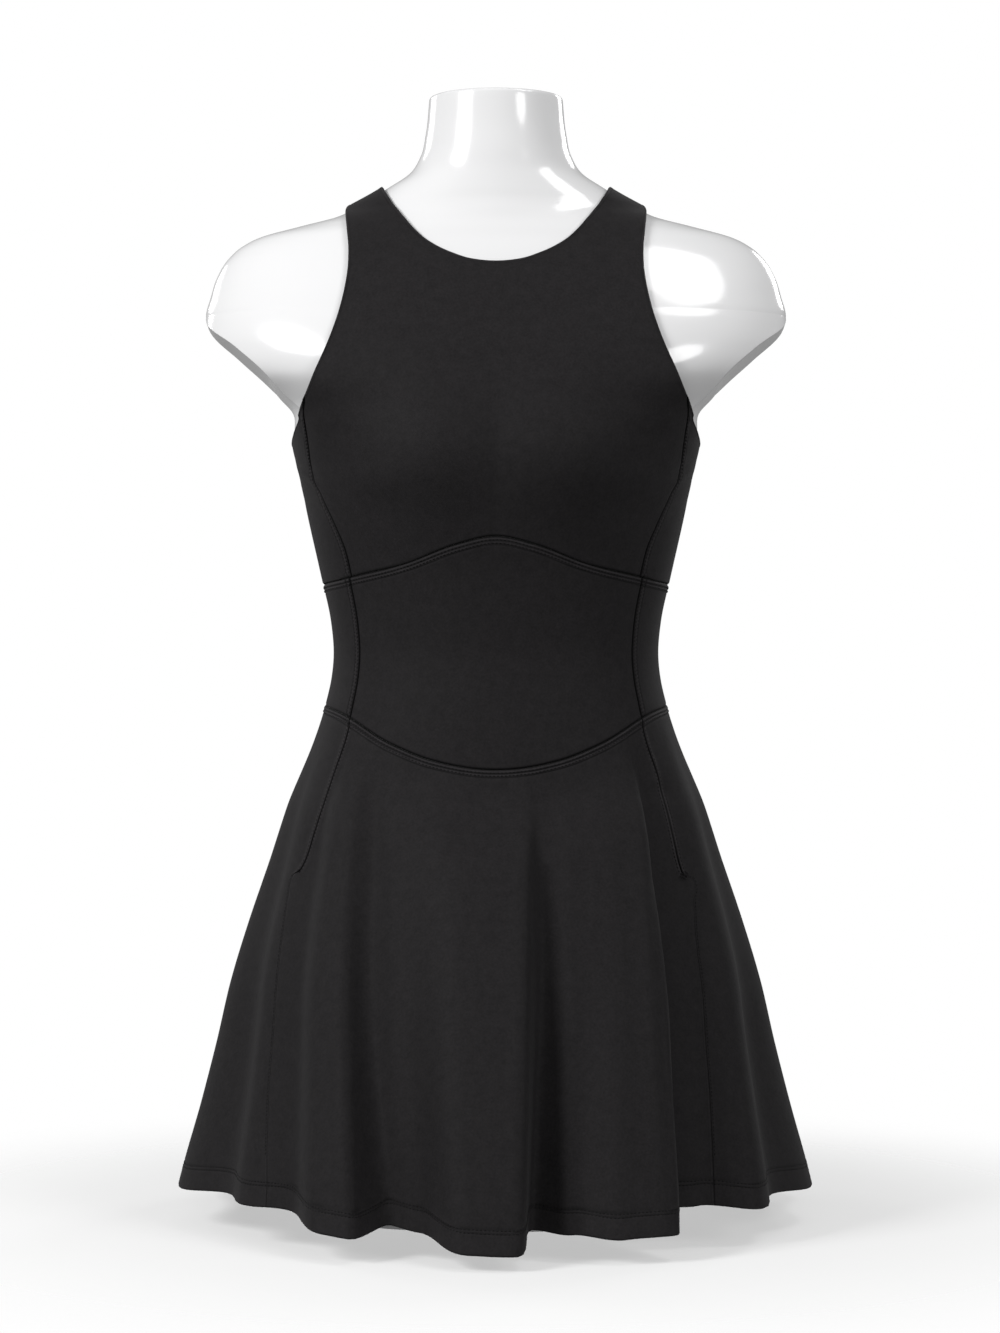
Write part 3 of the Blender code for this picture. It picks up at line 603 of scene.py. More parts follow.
def ring(height):
    """Width, roundness and corner of the body's section at a height."""
    flat = stump_flatness(height)
    outline = body_value(1, height)
    width = mix(outline, body_value(2, height), flat)
    roundness = body_value(5, height)
    plain = math.sin(math.radians(CORNER_TURN)) ** (2 / roundness)
    near_tip = 1 - ramp(height, STUMP_TIP, STUMP_TIP + STUMP_EASE)
    above = np.where(height > STUMP_FLAT_TOP, near_tip * TIP_SHARE, 0.0)
    share = mix(plain, np.clip(outline / width, 0.0, CORNER_SHARE), flat)
    share = mix(share, CORNER_SHARE, above)
    corner = np.arcsin(np.clip(share, 0, NEARLY_ONE) ** (roundness / 2))
    return width, roundness, corner, flat


def bust(x, height):
    """How far the bust stands out of the plain section."""
    tall = np.where(height > BUST_HEIGHT, BUST_ABOVE, BUST_BELOW)
    up = ((height - BUST_HEIGHT) / tall) ** 2
    across = ((np.abs(x) - BUST_OUT) / BUST_WIDTH) ** 2
    return BUST_RISE * np.exp(-up - across)


def body_point(turn, height):
    """Points on the body at the given turns and heights."""
    turn = wrap(np.asarray(turn, dtype=float))
    height = np.asarray(height, dtype=float)
    turn, height = np.broadcast_arrays(turn, height)
    side = np.where(turn < 0, -1.0, 1.0)
    quarter = np.where(np.abs(turn) > 90, 180 - np.abs(turn), np.abs(turn))
    front = np.abs(turn) <= 90
    width, roundness, corner, flat = ring(height)
    depth = np.where(front, body_value(3, height), body_value(4, height))
    past = np.clip((quarter - CORNER_TURN) / (90 - CORNER_TURN), 0, 1)
    lead = corner - math.radians(CORNER_TURN)
    inner = np.radians(quarter) + lead * (quarter / CORNER_TURN) ** 3
    outer = corner + past * (math.pi / 2 - corner)
    angle = np.where(quarter < CORNER_TURN, inner, outer)
    power = 2 / roundness
    x = width * np.sin(angle) ** power
    y = depth * np.clip(np.cos(angle), 0, 1) ** power
    chord_x = width * np.sin(corner) ** power
    chord_y = depth * np.cos(corner) ** power * (1 - past)
    on_side = flat * (quarter >= CORNER_TURN)
    x = mix(x, chord_x, on_side)
    y = mix(y, chord_y, on_side)
    y = np.where(front, -y, y)
    depth_share = (body_value(4, height) - y) / (body_value(3, height) + body_value(4, height))
    x = x * (1 + STUMP_TURN * stump_lean(height) * (STUMP_PIVOT - depth_share))
    y = np.where(front, y - bust(x, height) * np.cos(np.radians(quarter)), y)
    return np.stack([side * x, y, height], axis=-1)


def unit(vectors):
    return vectors / np.linalg.norm(vectors, axis=-1, keepdims=True)


def body_cloth(turn, height, lift=LIFT):
    """Points of cloth that lies on the body, a lift away from it."""
    turn = np.asarray(turn, dtype=float)
    height = np.asarray(height, dtype=float)
    low = np.maximum(height - PROBE, 0)
    sideward = body_point(turn + PROBE_TURN, height) - body_point(turn - PROBE_TURN, height)
    upward = body_point(turn, height + PROBE) - body_point(turn, low)
    out = unit(np.cross(sideward, upward))
    fold = np.abs(wrap(turn))
    side = ramp(np.minimum(fold, 180 - fold), SPAN_TURN, CORNER_TURN)
    span = SPAN_LIFT * side * np.exp(-((height - SPAN_HEIGHT) / SPAN_REACH) ** 2)
    return body_point(turn, height) + out * (lift + span)[..., None]


def turn_at(x, height):
    """Turn of the place on the front that is x to the side, as body_point has it."""
    width, roundness, corner, flat = ring(height)
    front = body_value(3, height)
    back = body_value(4, height)
    angle = np.full_like(np.asarray(x, dtype=float), SOLVE_START)
    for _ in range(TURN_ROUNDS):
        y = -front * np.cos(angle) ** (2 / roundness)
        shrink = 1 + STUMP_TURN * stump_lean(height) * (STUMP_PIVOT - (back - y) / (front + back))
        share = np.clip(np.abs(x) / (width * shrink), 0, NEARLY_ONE)
        angle = np.arcsin(share ** (roundness / 2))
    lead = np.degrees(corner) - CORNER_TURN
    wanted = np.degrees(angle)
    inner = np.minimum(wanted, CORNER_TURN)
    for _ in range(SOLVE_ROUNDS):
        miss = inner + lead * (inner / CORNER_TURN) ** 3 - wanted
        inner = inner - miss / (1 + 3 * lead * inner ** 2 / CORNER_TURN ** 3)
    outer = CORNER_TURN + (angle - corner) / (math.pi / 2 - corner) * (90 - CORNER_TURN)
    return np.sign(x) * np.where(angle < corner, inner, outer)


def ridge_height(x):
    """Height of the shoulder's ridge, level inside the strap."""
    heights = np.linspace(RIDGE_LOW, RIDGE_HIGH, RIDGE_STEPS)
    widths = body_value(1, heights)
    reach = np.clip(np.abs(x), STRAP_INNER, None)
    return np.interp(-reach, -widths, heights)


def over_shoulder(x, climb, face):
    """Cloth over the shoulder; climb is 1 on the ridge, face is -1 in front and 1 behind."""
    top = ridge_height(x)
    height = top - (top - UNROLL_FLOOR) * (1 - climb) ** 2
    turn = np.abs(turn_at(np.abs(x), height))
    ridge = climb > NEARLY_ONE
    turn = np.where(ridge, 90.0, turn)
    turn = np.where(face > 0, 180 - turn, turn) * np.where(x < 0, -1, 1)
    lift = LIFT + STRAP_LIFT * ramp(climb, STRAP_LIFT_START, STRAP_LIFT_FULL)
    points = body_cloth(turn, height, lift)
    across = (np.abs(x) - STRAP_INNER) / (STRAP_OUTER - STRAP_INNER)
    points[..., 2] += STRAP_RISE * ramp(climb, STRAP_RISE_START, 1.0) * np.clip(across, 0, STRAP_REACH)
    points[..., 1] = np.where(ridge, 0.0, points[..., 1])
    return points


def climb_at(x, height):
    top = ridge_height(x)
    return 1 - np.sqrt(np.clip((top - height) / (top - UNROLL_FLOOR), 0, 1))


def section(turn, height):
    """Point of the skirt's plain oval section."""
    width, front, back = (through(column(SKIRT, 0), column(SKIRT, i), height) for i in (1, 2, 3))
    across = np.sin(np.radians(turn))
    ahead = np.cos(np.radians(turn))
    power = 2 / SKIRT_ROUNDNESS
    x = width * np.sign(across) * np.abs(across) ** power
    y = -np.where(ahead > 0, front, back) * np.sign(ahead) * np.abs(ahead) ** power
    return np.stack([x, y, height], axis=-1)


def fold_offsets(turn, fall):
    """Outward and sideways offsets of the folds at a turn, fall from 0 at the waist to 1."""
    wrapped = wrap(turn)
    table = FOLDS[-2:] + FOLDS + FOLDS[:2]
    shift = np.array([-360] * 2 + [0] * len(FOLDS) + [360] * 2, dtype=float)
    at = [mix(row[0], row[1], fall) + shift[i] for i, row in enumerate(table)]
    offsets = np.zeros((2,) + wrapped.shape)
    for i, (here, following) in enumerate(zip(table, table[1:])):
        inside = (wrapped >= at[i]) & (wrapped < at[i + 1])
        share = np.clip((wrapped - at[i]) / (at[i + 1] - at[i]), 0, 1)
        wave = (1 - np.cos(np.pi * share)) / 2
        for way in (0, 1):
            near = here[2 + way] * fall ** here[4]
            far = following[2 + way] * fall ** following[4]
            offsets[way] = np.where(inside, mix(near, far, wave), offsets[way])
    return offsets


def skirt_point(turn, fall):
    """Points of the skirt's cloth; fall runs from 0 at the waist seam to 1 at the hem."""
    turn, fall = np.broadcast_arrays(np.asarray(turn, dtype=float), np.asarray(fall, dtype=float))
    fold = np.abs(wrap(turn))
    top = seam_heights(WAIST, fold)
    hem = seam_heights(HEM, fold) - HEM_SWAY * fold_offsets(turn, np.ones_like(fall))[0]
    height = mix(top, hem, fall)
    snug = body_cloth(turn, height)
    loose = section(turn, height)
    points = mix(snug, loose, ramp(fall, 0.0, SKIRT_FREE)[..., None])
    outward, sideways = fold_offsets(turn, fall)
    outward = np.where(outward < 0, outward * ramp(fall, 0.0, FOLD_FREE), outward)
    radial = unit(np.stack([points[..., 0], points[..., 1], 0 * turn], axis=-1))
    tangent = np.stack([-radial[..., 1], radial[..., 0], 0 * turn], axis=-1)
    return points + radial * outward[..., None] + tangent * sideways[..., None]


def pocket_turn(height, side):
    return through(column(POCKET_SEAM, 0), column(POCKET_SEAM, 1 if side < 0 else 2), height)


princess_rows = spaced(PRINCESS_LENGTH, NEAR_SEAM, NEAR_SEAM)
armhole_rows = spaced(ARMHOLE_LENGTH, end=NEAR_SEAM)
strap_columns = spaced(STRAP_WIDTH, NEAR_SEAM)
neck_columns = spaced(NECK_LENGTH)
side_columns = spaced(SIDE_LENGTH, NEAR_SEAM, NEAR_SEAM)
midriff_rows = spaced(MIDRIFF_LENGTH, NEAR_SEAM, NEAR_SEAM)
skirt_rows = spaced(SKIRT_LENGTH, NEAR_SEAM, NEAR_HEM)


def half_columns(strap_share):
    return np.concatenate([strap_share * strap_columns, mix(strap_share, 0.5, neck_columns[1:])])


def both_halves(half):
    return np.concatenate([half, 1 - half[::-1][1:]])


front_columns = both_halves(half_columns(FRONT_STRAP_SHARE))
back_columns = both_halves(half_columns(BACK_STRAP_SHARE))


def drawn(grid):
    """Moves cloth forward where it spans the hollow between the bust and the shoulder."""
    across = (np.abs(grid[..., 0]) - DRAWN_X) / DRAWN_WIDE
    upward = (grid[..., 2] - DRAWN_HEIGHT) / DRAWN_TALL
    reach = DRAWN_FORWARD * np.exp(-across ** 2 - upward ** 2) * ramp(-grid[..., 1], DRAWN_START, DRAWN_FULL)
    grid = grid.copy()
    grid[..., 1] -= reach
    return grid


def strap_grid(neckline, face, columns):
    """Inner face of the bodice's front or back with its straps, from the underbust seam up."""
    places = share_at(PRINCESS, princess_rows)
    princess = np.stack([places[:, 0], climb_at(places[:, 0], places[:, 1])], axis=-1)
    edge = even(with_climb(ARMHOLE) + [(STRAP_OUTER, 1.0)], armhole_rows, face)
    side_domain = np.concatenate([princess, edge[1:]])
    rows = np.concatenate([PRINCESS_SHARE * princess_rows, mix(PRINCESS_SHARE, 1.0, armhole_rows[1:])])
    strap_x = mix(STRAP_OUTER, STRAP_INNER, strap_columns)
    strap = np.stack([strap_x, np.ones_like(strap_x)], axis=-1)
    neck_domain = even([(STRAP_INNER, 1.0)] + with_climb(neckline), neck_columns, face)
    half_top = np.concatenate([strap, neck_domain[1:]])
    top = np.concatenate([half_top, half_top[::-1][1:] * np.array([-1, 1])])
    turns = SIDE_TURN * (1 - 2 * columns)
    heights = seam_heights(UNDERBUST, turns if face < 0 else 180 - np.abs(turns))
    bottom_turns = turns if face < 0 else np.where(turns < 0, -180 - turns, 180 - turns)
    seam = body_cloth(bottom_turns, heights)
    bottom = np.stack([seam[:, 0], climb_at(seam[:, 0], heights)], axis=-1)
    left = side_domain.copy()
    left[0] = bottom[0]
    right = left * np.array([-1, 1])
    domain = between(bottom, top, left, right, columns, rows)
    grid = over_shoulder(domain[..., 0], domain[..., 1], face)
    grid[0] = seam
    seam_points = princess_seam(face)
    grid[: len(princess_rows), 0] = seam_points
    grid[: len(princess_rows), -1] = seam_points * np.array([-1, 1, 1])
    return grid


def princess_seam(face):
    turn, height = princess_line(princess_rows)
    if face > 0:
        turn = 180 - turn
        height[0] = seam_heights(UNDERBUST, 180 - SIDE_TURN)
    return body_cloth(turn, height)


def side_grid():
    """Inner face of the left side of the bodice, from the front princess seam to the back one."""
    turn, height = princess_line(princess_rows)
    left = np.stack([turn, height], axis=-1)
    right = np.stack([180 - turn, height], axis=-1)
    turns = mix(SIDE_TURN, 180 - SIDE_TURN, side_columns)
    bottom = np.stack([turns, seam_heights(UNDERBUST, turns)], axis=-1)
    right[0] = bottom[-1]
    across = 2 * side_columns - 1
    top_turn = mix(left[-1, 0], right[-1, 0], side_columns)
    top_height = ARMHOLE_LOW + (left[-1, 1] - ARMHOLE_LOW) * np.abs(across) ** ARMHOLE_POWER
    top = np.stack([top_turn, top_height], axis=-1)
    domain = between(bottom, top, left, right, side_columns, princess_rows)
    grid = body_cloth(domain[..., 0], domain[..., 1])
    grid[:, 0] = princess_seam(-1)
    grid[:, -1] = princess_seam(1)
    return grid


def midriff_grid(start, end, columns):
    turns = mix(start, end, columns)[None, :]
    fold = np.abs(wrap(turns))
    heights = mix(seam_heights(WAIST, fold), seam_heights(UNDERBUST, fold), midriff_rows[:, None])
    return body_cloth(turns + 0 * heights, heights)


def skirt_grid(start_side, end_side, columns):
    """Inner face of a skirt panel between two seams, each given as (side, face)."""
    falls = skirt_rows[:, None]

    def seam_turn(side, face):
        at = SIDE_TURN if face < 0 else 180 - SIDE_TURN
        top = seam_heights(WAIST, at)
        hem = seam_heights(HEM, at)
        turn = pocket_turn(mix(top, hem, falls), side) if face < 0 else back_seam_turn(falls)
        return side * turn

    start = seam_turn(*start_side)
    end = seam_turn(*end_side)
    end = np.where(end < start, end + 360, end)
    return skirt_point(mix(start, end, columns[None, :]), falls + 0 * columns[None, :])


def back_seam_turn(falls):
    return mix(180 - SIDE_TURN, 180 - SIDE_TURN + BACK_SEAM_TURN, falls)


def normals_of(grid):
    """Unit normals of a grid of points, turned away from the body's axis."""
    normals = unit(np.cross(np.gradient(grid, axis=1), np.gradient(grid, axis=0)))
    outward = np.sum(normals[..., :2] * grid[..., :2])
    return normals * np.sign(outward)


def distance_to(points, line):
    """Distance of each point of a grid to the nearest point of a line."""
    flat = points.reshape(-1, 3)
    nearest = np.empty(len(flat))
    for start in range(0, len(flat), BLOCK):
        block = flat[start:start + BLOCK]
        gaps = np.linalg.norm(block[:, None] - line[None], axis=-1)
        nearest[start:start + BLOCK] = gaps.min(axis=1)
    return nearest.reshape(points.shape[:-1])


def relief(grid, edges):
    """Outward offset beside the seams and edges; the deepest dip and the highest rise win."""
    low = np.zeros(grid.shape[:-1])
    high = np.zeros(grid.shape[:-1])
    for line, profile in edges:
        away = distance_to(grid, line) * PER_METRE
        out = np.interp(away, column(profile, 0), column(profile, 1)) * MILLIMETRE
        low = np.minimum(low, out)
        high = np.maximum(high, out)
    return np.where(low < 0, low, high)


def creases_at(grid, creases):
    """Offset of the soft creases; each is a line on the front or back with a width and a depth."""
    total = np.zeros(grid.shape[:-1])
    for x0, z0, x1, z1, width, depth, face in creases:
        start = np.array((x0, z0))
        run = np.array((x1 - x0, z1 - z0))
        places = grid[..., [0, 2]] - start
        share = np.clip(places @ run / (run @ run), 0, 1)
        away = np.linalg.norm(places - share[..., None] * run, axis=-1)
        fade = np.sin(np.pi * np.clip(share, CREASE_ENDS, 1 - CREASE_ENDS)) ** CREASE_POWER
        on_face = ramp(grid[..., 1] * face, CREASE_START, CREASE_FULL)
        total += depth * fade * np.exp(-((away / width) ** 2)) * on_face
    return total


def build_panel(name, grid, edges, creases=()):
    """A shell of cloth on a grid of its node's inner face."""
    normals = normals_of(grid)
    rise = relief(grid, edges)
    out = np.maximum(WALL + rise + creases_at(grid, creases), THINNEST)
    surface = grid + normals * out[..., None]
    normals = normals_of(surface)
    obj = grid_object("cloth_" + name, surface, knit, outward_first(surface, normals))
    # The rise layer drives the knit's painted shade in dips and painted highlight on welts
    layer = obj.data.attributes.new("rise", "FLOAT", "POINT")
    layer.data.foreach_set("value", (rise * PER_METRE).astype(np.float32).ravel())
    wall = obj.modifiers.new("wall", "SOLIDIFY")
    wall.thickness = SHELL
    wall.offset = -1.0
    panels[name] = (surface, normals)
    pieces[name] = obj
    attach(obj, "root")


def outward_first(surface, normals):
    """True where the grid's rows and columns already wind outward."""
    wound = np.cross(surface[0, 1] - surface[0, 0], surface[1, 0] - surface[0, 0])
    return float(wound @ normals[0, 0]) > 0


def quads_between(index, following):
    """Corners of the faces between rows of points and the points that follow along the rows."""
    return np.stack([index[:-1], following[:-1], following[1:], index[1:]], axis=-1).reshape(-1, 4)


def add_object(name, data):
    """A new object in the scene."""
    obj = bpy.data.objects.new(name, data)
    bpy.context.scene.collection.objects.link(obj)
    return obj


def add_mesh(name, points, faces, material):
    """A smooth mesh in the scene."""
    mesh = bpy.data.meshes.new(name)
    mesh.from_pydata(points, [], faces)
    mesh.materials.append(material)
    mesh.shade_smooth()
    return add_object(name, mesh)


def grid_object(name, grid, material, outward):
    """A mesh on a grid of points; its grain layer holds lengths across and up the cloth."""
    rows, columns = grid.shape[:2]
    index = np.arange(rows * columns).reshape(rows, columns)
    quads = quads_between(index[:, :-1], index[:, 1:])
    if not outward:
        quads = quads[:, ::-1]
    obj = add_mesh(name, grid.reshape(-1, 3).tolist(), quads.tolist(), material)
    across = np.cumsum(np.linalg.norm(np.diff(grid, axis=1, prepend=grid[:, :1]), axis=-1), axis=1)
    across -= across[:, columns // 2][:, None]
    upward = np.cumsum(np.linalg.norm(np.diff(grid, axis=0, prepend=grid[:1]), axis=-1), axis=0)
    places = np.stack([across, upward], axis=-1).reshape(-1, 2)
    corners = np.empty(len(obj.data.loops), dtype=np.int32)
    obj.data.loops.foreach_get("vertex_index", corners)
    layer = obj.data.uv_layers.new(name="grain")
    layer.data.foreach_set("uv", places[corners].astype(np.float32).ravel())
    return obj


def line_beside(panel, side, offset, first=0, last=None):
    """Points and normals of a panel at an offset from one of its sides."""
    surface, normals = panels[panel]
    if side in ("top", "bottom"):
        lines, outs = surface, normals
    else:
        lines, outs = surface.swapaxes(0, 1), normals.swapaxes(0, 1)
    if side in ("top", "right"):
        lines, outs = lines[::-1], outs[::-1]
    lines, outs = lines[:, first:last], outs[:, first:last]
    length = np.cumsum(np.linalg.norm(np.diff(lines, axis=0, prepend=lines[:1]), axis=-1), axis=0)
    places = range(lines.shape[1])
    points = np.array([at_lengths(length[:, j], lines[:, j], offset) for j in places])
    normal = np.array([at_lengths(length[:, j], outs[:, j], offset) for j in places])
    return points, unit(normal)


def stitches(name, lines):
    """Rows of single stitches along lines of points and normals."""
    vertices = []
    faces = []
    around = np.linspace(0, 2 * math.pi, STITCH_SIDES, endpoint=False)
    for points, normals in lines:
        length = lengths_along(points)
        at = np.arange(STITCH_PITCH / 2, length[-1], STITCH_PITCH)
        ahead, centre, behind = (
            at_lengths(length, points, at + step * STITCH_PITCH / 4) for step in (1, 0, -1)
        )
        out = unit(at_lengths(length, normals, at))
        run = unit(ahead - behind)
        side = unit(np.cross(run, out))
        for place, along, beside, up in zip(centre + out * STITCH_LIFT, run, side, out):
            first = len(vertices)
            vertices.append(place - along * STITCH_LONG - up * STITCH_HIGH)
            for end in (-0.5, 0.5):
                for angle in around:
                    edge = beside * STITCH_WIDE * math.cos(angle) + up * STITCH_HIGH * math.sin(angle)
                    vertices.append(place + along * STITCH_LONG * end + edge)
            vertices.append(place + along * STITCH_LONG - up * STITCH_HIGH)
            for k in range(STITCH_SIDES):
                a = first + 1 + k
                b = first + 1 + (k + 1) % STITCH_SIDES
                faces.append((first, b, a))
                faces.append((a, b, b + STITCH_SIDES, a + STITCH_SIDES))
                faces.append((a + STITCH_SIDES, b + STITCH_SIDES, first + 1 + 2 * STITCH_SIDES))
    obj = add_mesh(name, [tuple(v) for v in vertices], faces, thread)
    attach(obj, "root")


def fill(made, **values):
    """Sets inputs of a shader node; an underscore in a name stands for a space."""
    for name, value in values.items():
        made.inputs[name.replace("_", " ")].default_value = value
    return made


def node(tree, kind, **values):
    """A new shader node with the given inputs."""
    return fill(tree.nodes.new(kind), **values)


def join(tree, source, output, target, socket):
    """Links an output of one node to a socket of another."""
    tree.links.new(source.outputs[output], target.inputs[socket])


def new_material(name):
    """A new material with its tree and its shader."""
    material = bpy.data.materials.new(name)
    material.use_nodes = True
    tree = material.node_tree
    return material, tree, tree.nodes["Principled BSDF"]


def noise(tree, place, look):
    """Noise in the object's own space with a scale, a detail and a roughness."""
    made = node(tree, "ShaderNodeTexNoise", Scale=look[0], Detail=look[1], Roughness=look[2])
    join(tree, place, "Object", made, "Vector")
    return made


def tones(tree, source, output, ends):
    """Colour ramp driven by an output, with a position and a colour at both ends."""
    tone = tree.nodes.new("ShaderNodeValToRGB")
    for element, (position, colour) in zip(tone.color_ramp.elements, ends):
        element.position = position
        element.color = colour
    join(tree, source, output, tone, "Fac")
    return tone


def add_bump(tree, height, output, shader, strength, distance):
    """Gives a shader a small relief from an output of the height's node."""
    bump = node(tree, "ShaderNodeBump", Strength=strength, Distance=distance)
    join(tree, height, output, bump, "Height")
    join(tree, bump, "Normal", shader, "Normal")


def knit_material():
    """Fine matte charcoal jersey: soft mottling, small wales and courses, a low sheen, with painted shade in
    the dips beside seams and edges and a painted highlight on their welts.
    """
    material, tree, shader = new_material("charcoal_knit_look")
    fill(shader, Roughness=KNIT_ROUGHNESS, Specular_IOR_Level=KNIT_SPECULAR)
    fill(shader, Sheen_Weight=KNIT_SHEEN, Sheen_Roughness=KNIT_SHEEN_ROUGHNESS, Sheen_Tint=WHITE)
    place = tree.nodes.new("ShaderNodeTexCoord")
    blotch = noise(tree, place, KNIT_BLOTCH)
    grain = noise(tree, place, KNIT_GRAIN)
    blend = tree.nodes.new("ShaderNodeMix")
    blend.data_type = "FLOAT"
    blend.inputs[0].default_value = KNIT_BLEND
    join(tree, blotch, "Fac", blend, 2)
    join(tree, grain, "Fac", blend, 3)
    tone = tones(tree, blend, 0, KNIT_TONES)
    # Painted shade and painted highlight: the rise layer scales the base colour, darker in dips and lighter
    # on welts
    rise = tree.nodes.new("ShaderNodeAttribute")
    rise.attribute_name = "rise"
    painted_shade_and_highlight = node(tree, "ShaderNodeMapRange", From_Min=RISE_LOW, From_Max=RISE_HIGH)
    fill(painted_shade_and_highlight, To_Min=PAINTED_DIP_SHADE, To_Max=PAINTED_WELT_HIGHLIGHT)
    join(tree, rise, "Fac", painted_shade_and_highlight, "Value")
    shaded = tree.nodes.new("ShaderNodeVectorMath")
    shaded.operation = "SCALE"
    join(tree, tone, "Color", shaded, 0)
    join(tree, painted_shade_and_highlight, "Result", shaded, "Scale")
    join(tree, shaded, 0, shader, "Base Color")
    grain_place = tree.nodes.new("ShaderNodeUVMap")
    grain_place.uv_map = "grain"
    loops = tree.nodes.new("ShaderNodeMath")
    loops.operation = "MULTIPLY_ADD"
    for socket, (direction, scale) in enumerate((("X", WALE_SCALE), ("Y", COURSE_SCALE))):
        bands = node(tree, "ShaderNodeTexWave", Scale=scale, Distortion=KNIT_WAVER)
        bands.bands_direction = direction
        join(tree, grain_place, "UV", bands, "Vector")
        join(tree, bands, "Fac", loops, socket)
    join(tree, grain, "Fac", loops, 2)
    add_bump(tree, loops, 0, shader, KNIT_BUMP, KNIT_BUMP_HEIGHT)
    return material


def thread_material():
    """Sewing thread, a little smoother than the jersey and darker than it: its own charcoal with painted
    shade of the stitch holes.
    """
    material, tree, shader = new_material("charcoal_thread_look")
    fill(shader, Roughness=THREAD_ROUGHNESS, Specular_IOR_Level=THREAD_SPECULAR)
    fibres = noise(tree, tree.nodes.new("ShaderNodeTexCoord"), THREAD_FIBRES)
    ends = [(at, tuple(c * share for c in THREAD_AND_HOLE_SHADE_COLOUR) + (1.0,)) for at, share in THREAD_SHADES]
    join(tree, tones(tree, fibres, "Fac", ends), "Color", shader, "Base Color")
    return material


def gloss_material():
    """Glossy white lacquer with a barely seen unevenness."""
    material, tree, shader = new_material("white_gloss_look")
    fill(shader, Roughness=GLOSS_ROUGHNESS, Coat_Weight=GLOSS_COAT, Coat_Roughness=GLOSS_COAT_ROUGHNESS)
    place = tree.nodes.new("ShaderNodeTexCoord")
    cloud = noise(tree, place, GLOSS_CLOUD)
    join(tree, tones(tree, cloud, "Fac", GLOSS_TONES), "Color", shader, "Base Color")
    add_bump(tree, noise(tree, place, GLOSS_PEEL), "Fac", shader, GLOSS_BUMP, GLOSS_BUMP_HEIGHT)
    return material


def build_form():
    """Smooth limbless trunk as a loft of close rings, with crisp edges at the stumps."""
    heights = np.linspace(0, FORM_TOP - NECK_ROUND, FORM_STEPS)
    length = lengths_along(np.stack([heights, body_value(1, heights)], axis=-1))
    rows = np.interp(np.linspace(0, length[-1], round(length[-1] / FORM_CELL)), length, heights)
    rows = np.unique(np.concatenate([rows, np.arange(*STUMP_ROWS)]))
    turns = np.linspace(-180, 180, FORM_TURNS, endpoint=False)
    corner = np.array(CORNER_TURNS)
    near = [corner * side + side * CORNER_TURN for side in (-1, 1)]
    near += [side * (180 - CORNER_TURN) - corner * side for side in (-1, 1)]
    turns = np.unique(np.round(np.concatenate([turns, *near]), 4))
    grid = body_point(turns[None, :] + 0 * rows[:, None], rows[:, None] + 0 * turns[None, :])
    rim = []
    for share in np.linspace(*RIM_SHARES):
        angle = share * math.pi / 2
        ring_points = grid[-1].copy()
        inward = NECK_ROUND * (1 - math.cos(angle)) / body_value(1, FORM_TOP)
        ring_points[:, :2] *= 1 - inward
        ring_points[:, 2] = FORM_TOP - NECK_ROUND * (1 - math.sin(angle))
        rim.append(ring_points)
    grid = np.concatenate([grid, np.array(rim)])
    count, columns = grid.shape[:2]
    index = np.arange(count * columns).reshape(count, columns)
    following = np.roll(index, -1, axis=1)
    faces = quads_between(index, following).tolist()
    faces.append(index[0][::-1].tolist())
    faces.append(index[-1].tolist())
    obj = add_mesh("form_trunk", grid.reshape(-1, 3).tolist(), faces, gloss)
    obj.data.polygons[-1].use_smooth = False
    obj.data.polygons[-2].use_smooth = False
    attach(obj, "root")
    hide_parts("dress_form")


knit = knit_material()
thread = thread_material()
gloss = gloss_material()
panels = {}
pieces = {}
build_form()

corner_row = len(princess_rows) - 1
strap_count = len(strap_columns)


def bodice_edges(grid):
    """Seams and edges of a bodice panel with straps."""
    rows = corner_row + 1
    return [
        (grid[0], PLAIN_SEAM),
        (grid[:rows, 0], PLAIN_SEAM),
        (grid[:rows, -1], PLAIN_SEAM),
        (grid[rows - 1:, 0], ROLLED_EDGE),
        (grid[rows - 1:, -1], ROLLED_EDGE),
        (grid[-1, :strap_count], PLAIN_SEAM),
        (grid[-1, -strap_count:], PLAIN_SEAM),
        (grid[-1, strap_count - 1:1 - strap_count], ROLLED_EDGE),
    ]


def panel_edges(grid, bottom, top, sides):
    """Seams and edges of a plain panel, each with its profile."""
    return [(grid[0], bottom), (grid[-1], top), (grid[:, 0], sides), (grid[:, -1], sides)]


def mirrored(grid):
    return grid * np.array([-1, 1, 1])


def skirt_edges(grid, start_pocket, end_pocket):
    """Seams of a skirt panel; its first row is at the waist, its last at the hem."""
    edges = [(grid[0], BAND_SEAM), (grid[-1], HEM_EDGE)]
    for line, pocket in ((grid[:, 0], start_pocket), (grid[:, -1], end_pocket)):
        mouth = line[:, 2] > POCKET_FOOT
        edges.append((line if not pocket else line[~mouth], SKIRT_SEAM))
        if pocket:
            edges.append((line[mouth], POCKET_EDGE))
    return edges


grid = drawn(strap_grid(NECKLINE_FRONT, -1, front_columns))
build_panel("bodice_front", grid, bodice_edges(grid), CREASES)
grid = strap_grid(NECKLINE_BACK, 1, back_columns)
build_panel("bodice_back", grid, bodice_edges(grid))
side = drawn(side_grid())
for suffix, grid in (("left", side), ("right", mirrored(side))):
    edges = panel_edges(grid, PLAIN_SEAM, ROLLED_EDGE, NARROW_BAND)
    build_panel("bodice_side_" + suffix, grid, edges, CREASES)

grid = midriff_grid(SIDE_TURN, -SIDE_TURN, front_columns)
edges = panel_edges(grid, PLAIN_SEAM, BAND_SEAM, PLAIN_SEAM)
build_panel("midriff_front", grid, edges)
grid = midriff_grid(180 - SIDE_TURN, 180 + SIDE_TURN, back_columns)
edges = panel_edges(grid, PLAIN_SEAM, BAND_SEAM, PLAIN_SEAM)
build_panel("midriff_back", grid, edges)
side = midriff_grid(SIDE_TURN, 180 - SIDE_TURN, side_columns)
for suffix, grid in (("left", side), ("right", mirrored(side))):
    edges = panel_edges(grid, PLAIN_SEAM, BAND_SEAM, NARROW_BAND)
    build_panel("midriff_side_" + suffix, grid, edges)

